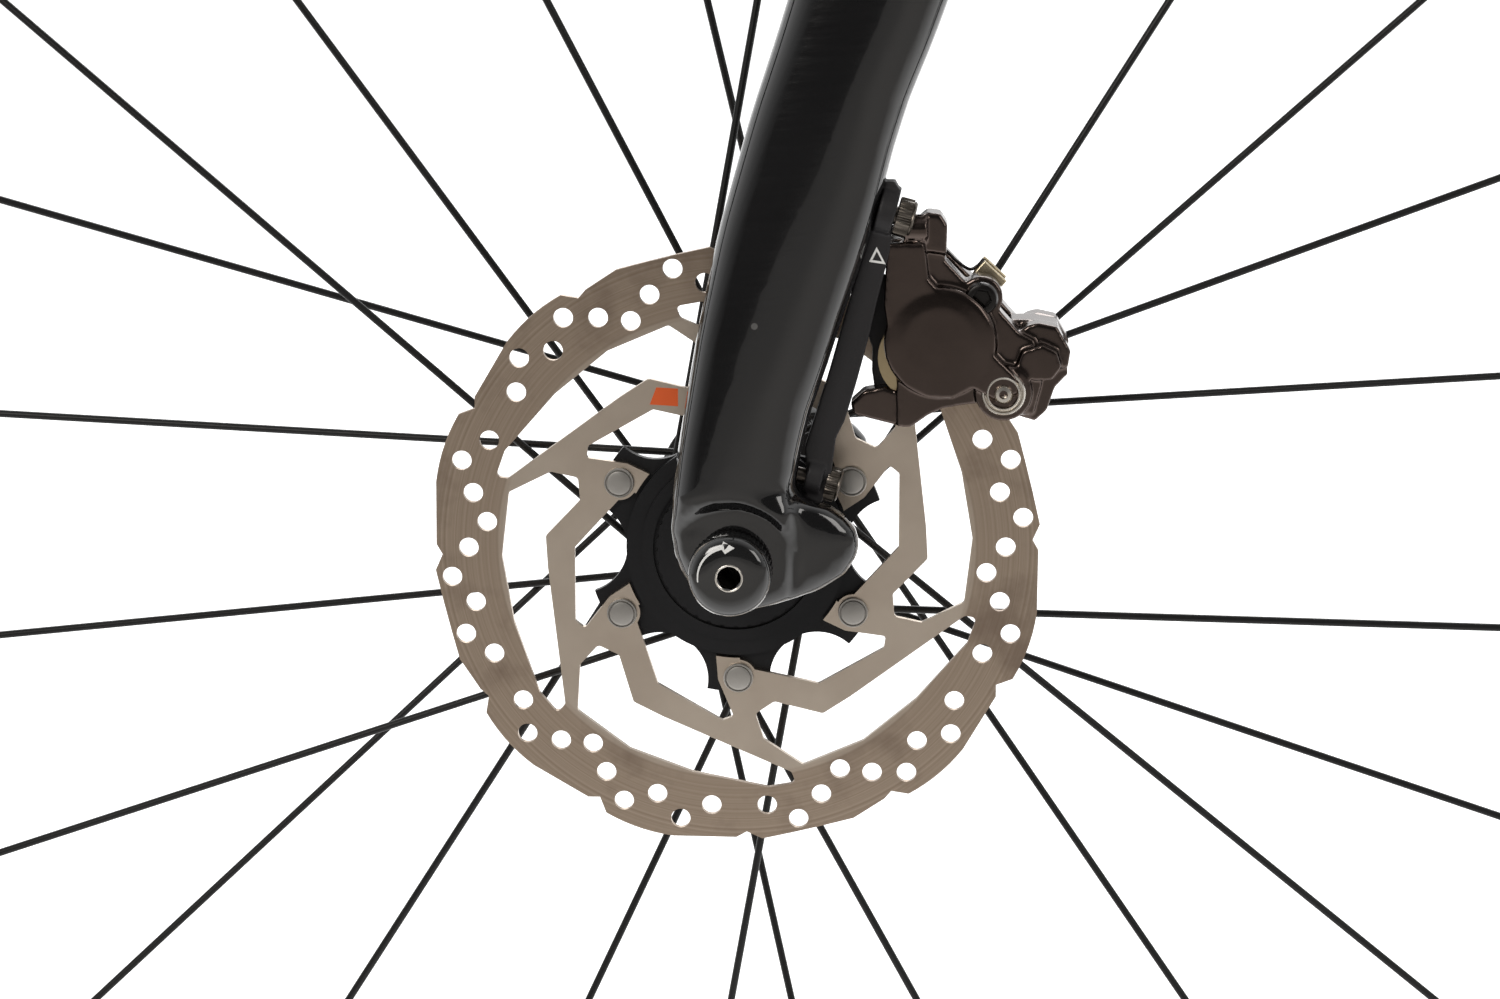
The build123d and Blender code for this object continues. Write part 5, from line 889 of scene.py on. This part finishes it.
def make_frame():
    form = Form()
    crown = crown_along() + 0.8
    form.rings([axis_oval(along, radius, radius) for along, radius in
                ((0, HEAD_HIGH_R), (crown * 0.25, HEAD_HIGH_R - 0.6), (crown * 0.5, HEAD_HIGH_R + 0.6),
                 (crown * 0.8, HEAD_LOW_R - 2), (crown, HEAD_LOW_R))])
    head_down = HEAD_TOP + STEER_UP * ((crown + DOWN_TUBE_RISE) * MM)
    head_top = HEAD_TOP + STEER_UP * (-32 * MM)
    seat_top = CRANK_AXLE + SEAT_UP * (SEAT_TUBE_LEN * MM)
    seat_join = CRANK_AXLE + SEAT_UP * ((SEAT_TUBE_LEN - SEAT_JOIN_DROP) * MM)
    oval_tube(form, eased([(CRANK_AXLE, 29, 24), (mixed(CRANK_AXLE, head_down, 0.5), 27, 25),
                           (head_down, 26, 25)]))
    oval_tube(form, eased([(head_top, 21, 19), (mixed(head_top, seat_join, 0.5), 18.6, 15.4),
                           (seat_join, 16, 13.5)]))
    oval_tube(form, [(mixed(CRANK_AXLE, seat_top, k / 8), 16.5, 16.5) for k in range(9)])
    form.lathe(crank_point(0, -43), LEFT, [(0, 23.5), (86, 23.5)], 72)
    run = REAR_AXLE - CRANK_AXLE
    reach = abs(run.x) / MM
    for hand in (-1, 1):
        stay = [(30, 16, -6, 9, 17), (100, 30, -2, 8.5, 15), (reach / 2, 46, 1, 8, 12),
                (reach - 74, 77.5, 0, 6.4, 10)]
        oval_tube(form, eased([(crank_point(-back, hand * side, run.z / MM * back / reach + rise), w, h)
                               for back, side, rise, w, h in stay]))
        ends = sorted((hand * DROPOUT_Y, hand * (DROPOUT_Y + DROPOUT_T)))
        form.slab(DROPOUT, *ends, axle_point)
        high = seat_top - SEAT_UP * (STAY_JOIN_DROP * MM)
        knee = mixed(high, REAR_AXLE, 0.28) + LEFT * (hand * 33 * MM)
        foot = axle_point(-22, 52, hand * (DROPOUT_Y + 4))
        oval_tube(form, eased([(high + LEFT * (hand * 10 * MM), 7, 8.5), (knee, 5.5, 8), (foot, 4, 8)]))
    piece("frame_shell", cast("frame_shell", form, 1.9, 7), GLOSS_BLACK, "frame", "frame_paint",
          "head_tube", "top_tube", "down_tube", "seat_tube", "chainstays", "seatstays")
    boss = Form()
    lift = (head_down - CRANK_AXLE).normalized()
    up = Vector((-lift.z, 0, lift.x))
    for along in BOTTLE_BOLTS_ALONG:
        foot = CRANK_AXLE + lift * (along * MM) + up * (BOTTLE_BOLTS_LIFT * MM)
        hex_socket(boss, foot, up, [(0, 4.6), (4.4, 4.6), (4.9, 4.2)], 2.0, 3.2)
    piece("bottle_bolts", boss, DARK_STEEL, "frame", "bolt_steel", sharp=35)


# ---------------------------------------------------------------- tyres
TYRE_HALF_W, TYRE_CROWN_R, BEAD_R = 15.0, 339.0, 311.0
CASING_R, CASING_LIFT = 14.4, 13.6  # the casing's round section, and its centre above the bead
TREAD_COUNT, TREAD_STEPS, TREAD_DEPTH = 96, 6, 0.45
SHOULDER_SIDE, SHOULDER_HALF_W = 9.5, 2.6


def make_tyre(name, centre, body):
    """A casing with a smooth centre band, file tread on the shoulders and a bead line."""
    profile = []
    for k in range(33):
        turn = math.radians(-128 + 256 * k / 32)
        profile.append((TYRE_HALF_W * math.sin(turn), BEAD_R + CASING_LIFT + CASING_R * math.cos(turn)))
    profile = [(-10.1, BEAD_R + 0.6), (-10.1, BEAD_R + 4.2), (-10.7, BEAD_R + 4.9)] + profile[2:-2]
    profile += [(10.7, BEAD_R + 4.9), (10.1, BEAD_R + 4.2), (10.1, BEAD_R + 0.6)]
    segments = TREAD_COUNT * TREAD_STEPS
    rings = []
    for i in range(segments):
        angle = 2 * math.pi * i / segments
        out = Vector((math.cos(angle), 0, math.sin(angle)))
        ring = []
        for side, radius in profile:
            shoulder = max(0.0, 1 - abs(abs(side)
                                        - SHOULDER_SIDE) / SHOULDER_HALF_W) if radius > BEAD_R + 16 else 0.0
            groove = TREAD_DEPTH * shoulder * (1 if (i + int(abs(side) * 1.2)) % TREAD_STEPS == 0 else 0)
            ring.append(centre + out * ((radius - groove) * MM) + LEFT * (side * MM))
        rings.append(ring)
    form = Form()
    form.rings(rings + [rings[0]], caps=False)
    bmesh.ops.remove_doubles(form.bm, verts=form.bm.verts, dist=1e-7)
    piece(name, form, MATERIALS["tyre_rubber"], body, "tyre_rubber", name.replace("_skin", ""), sharp=50)


# ---------------------------------------------------------------- bar tape and hoods
BAR_CENTRE = HEAD_TOP + STEER_UP * (41 * MM) + STEER_FORE * (100 * MM)
HALF_BAR, BAR_R = 210.0, 11.9
TAPE_PITCH, TAPE_STEP, TAPE_T, TAPE_LAP, BAND_T = 22.0, 1.4, 2.0, 0.75, 1.5


def bar_point(forward, side, up):
    return BAR_CENTRE + Vector((forward, side, up)) * MM


def rounded_line(points, radii, step=TAPE_STEP):
    """Evenly spaced points along straight runs joined by tangent arcs, radii in millimetres."""
    path = [points[0]]
    for before, corner, after, radius in zip(points, points[1:], points[2:], radii):
        come, leave = (before - corner).normalized(), (after - corner).normalized()
        half = come.angle(leave) / 2
        cut = radius * MM / math.tan(half)
        centre = corner + (come + leave).normalized() * (radius * MM / math.sin(half))
        first, last = corner + come * cut - centre, corner + leave * cut - centre
        whole = first.angle(last)
        for k in range(17):
            share = k / 16
            path.append(centre + (first * math.sin((1 - share) * whole)
                                  + last * math.sin(share * whole)) / math.sin(whole))
    path.append(points[-1])
    even, carry = [path[0]], 0.0
    for a, b in zip(path, path[1:]):
        length = (b - a).length / MM
        along = step - carry
        while along <= length:
            even.append(a + (b - a) * (along / length))
            along += step
        carry = length - (along - step)
    return even


def tape_line(hand):
    side = hand * HALF_BAR
    corners = [bar_point(0, hand * 72, 0), bar_point(0, side - hand * 3, 0), bar_point(84, side + hand, -4),
               bar_point(70, side + hand * 3, -126), bar_point(-38, side + hand * 6, -129)]
    return rounded_line(corners, [32, 40, 55])


def make_tape():
    """Wound tape: each turn laps over the one before, with a finishing band and a bar-end plug."""
    form = Form()
    plugs = Form()
    for hand in (-1, 1):
        line = tape_line(hand)
        count = 56
        rings = []
        side = Vector((0, 0, 1))
        for i, point in enumerate(line):
            run = (line[min(i + 1, len(line) - 1)] - line[max(i - 1, 0)]).normalized()
            side = (side - run * side.dot(run)).normalized()
            up = run.cross(side)
            along = i * TAPE_STEP
            ring = []
            for k in range(count):
                turn = 2 * math.pi * k / count
                lap = (along / TAPE_PITCH + hand * k / count) % 1.0
                lift = TAPE_T + TAPE_LAP * min(lap / 0.8, (1 - lap) / 0.12, 1.0)
                if along < 12:
                    lift = BAND_T
                ring.append(point + (side * math.cos(turn) + up * math.sin(turn)) * ((BAR_R + lift) * MM))
            rings.append(ring)
        form.rings(rings)
        plug_axis = (line[-1] - line[-3]).normalized()
        plugs.lathe(line[-1], plug_axis, [(-0.5, 13), (1.8, 13), (2.7, 12), (3.0, 9), (3.0, 0.1)], 48)
    piece("tape_wrap", form, MATERIALS["tape"], "steering", "tape", "bar_tape", sharp=50)
    piece("bar_plugs", plugs, MATERIALS["pedal_plastic"], "steering", "tape", sharp=40)


HOOD = [(58, -2, 16.5, 18), (84, 2, 15.5, 17.5), (112, 6, 15, 19), (138, 12, 14, 23), (152, 22, 11, 15),
        (157, 25, 6, 7)]
HOOD_PIVOT, TONGUE_HALF, TONGUE_REACH, TONGUE_ROOT = (142.0, -8.0), 9.1, 14.5, 13.4
RIB_DEPTH = 0.22


def make_hoods():
    """Moulded rubber hoods, waisted behind the horn and thinned to a tongue at the lever's pivot."""
    form = Form()
    for hand in (-1, 1):
        sizes = smooth_line([Vector((f, u, w)) for f, u, w, _ in HOOD], 16)
        heights = smooth_line([Vector((h, 0, 0)) for *_, h in HOOD], 16)
        rings = []
        for size, height in zip(sizes, heights):
            ring = []
            for k in range(72):
                turn = 2 * math.pi * k / 72
                c, s = math.cos(turn), math.sin(turn)
                across = size.z * math.copysign(abs(c) ** 0.82, c)
                rise = height.x * math.copysign(abs(s) ** 0.9, s)
                forward, up = size.x - 0.12 * rise, size.y + rise
                near = math.hypot(forward - HOOD_PIVOT[0], up - HOOD_PIVOT[1])
                if near < TONGUE_REACH:
                    limit = TONGUE_HALF + max(0.0, near - TONGUE_ROOT) * 5
                    across = max(-limit, min(limit, across))
                ribbed = 70 < size.x < 118 and abs(c) > 0.6
                rib = RIB_DEPTH * max(0.0, math.cos(size.x * 1.6)) if ribbed else 0.0
                across += math.copysign(rib, c)
                ring.append(bar_point(forward, hand * HALF_BAR + across, up))
            rings.append(ring)
        form.rings(rings)
    piece("hood_rubbers", form, MATERIALS["hood_rubber"], "steering", "hood_rubber", "lever_hoods")


# ---------------------------------------------------------------- saddle
SADDLE_TOP = CRANK_AXLE + SEAT_UP * 0.722
SADDLE = [(132, -14, 11, 7), (105, -11, 18, 10), (45, -11, 24, 13), (-25, -12, 42, 14), (-85, -9, 69, 15),
          (-122, -5, 68, 12), (-138, -5, 48, 7)]  # forward, up, half width, half height
CHANNEL_DEPTH, CHANNEL_HALF_W, SEAM_DEPTH, PADDING_FILL = 3.2, 7.5, 0.55, 0.85


def make_saddle():
    """A padded shell: firm skirt, crowned top with a shallow channel and a seam along each edge."""
    shape = smooth_line([Vector((f, u, w)) for f, u, w, _ in SADDLE], 14)
    heights = smooth_line([Vector((h, 0, 0)) for *_, h in SADDLE], 14)
    count = 112
    rings = []
    for size, height in zip(shape, heights):
        ring = []
        for k in range(count):
            turn = 2 * math.pi * k / count
            c, s = math.cos(turn), math.sin(turn)
            across = size.z * math.copysign(abs(c) ** 0.86, c)
            rise = height.x * (math.copysign(abs(s) ** 0.8, s) if s > 0 else -abs(s) ** 0.55)
            if s > 0:
                fade = max(0.0, min(1.0, (size.x + 128) / 40, (118 - size.x) / 50))
                rise -= CHANNEL_DEPTH * math.exp(-(across / CHANNEL_HALF_W) ** 2) * fade
            groove = SEAM_DEPTH * math.exp(-((s + 0.06) / 0.07) ** 2)
            across -= math.copysign(groove, c)
            ring.append(SADDLE_TOP + Vector((size.x, across, size.y + rise)) * MM)
        rings.append(ring)
    form = Form()
    form.rings(rings)
    cover = piece("saddle_padding", form, MATERIALS["saddle_skin"], "seat", "saddle_skin",
                  "saddle_cover")


# ---------------------------------------------------------------- rear wheel end
REAR_CAP_OUT = 79.0


def make_rear_cap():
    form = Form()
    out = REAR_CAP_OUT
    dome = [(out + along, radius) for along, radius in (
        (-0.4, 10.1), (0, 10.75), (2.7, 10.75), (2.9, 9.9), (3.3, 9.9), (3.5, 10.45), (4.8, 10.4),
        (5.9, 9.6), (6.7, 8.2), (7.0, 5.0), (7.0, 3.7))]
    form.lathe(REAR_AXLE, LEFT, [(-78, 5.9), (out - 0.3, 5.9)], 48)
    hex_socket(form, REAR_AXLE, LEFT, dome, 2.55, out + 2.5, teeth=(1, 2, 48, 0.45), segments=144)
    piece("rear_axle_cap", form, CAP_BLACK, "frame", "black_alloy", "rear_thru_axle", sharp=40)


def make_bicycle():
    make_frame()
    make_tyre("front_tyre_skin", FRONT_AXLE, "front_wheel")
    make_tyre("rear_tyre_skin", REAR_AXLE, "rear_wheel")
    make_tape()
    make_hoods()
    make_saddle()
    make_rear_cap()


place_camera()
light_studio()
make_floor()
dress_nodes()
make_front_end()
make_bicycle()
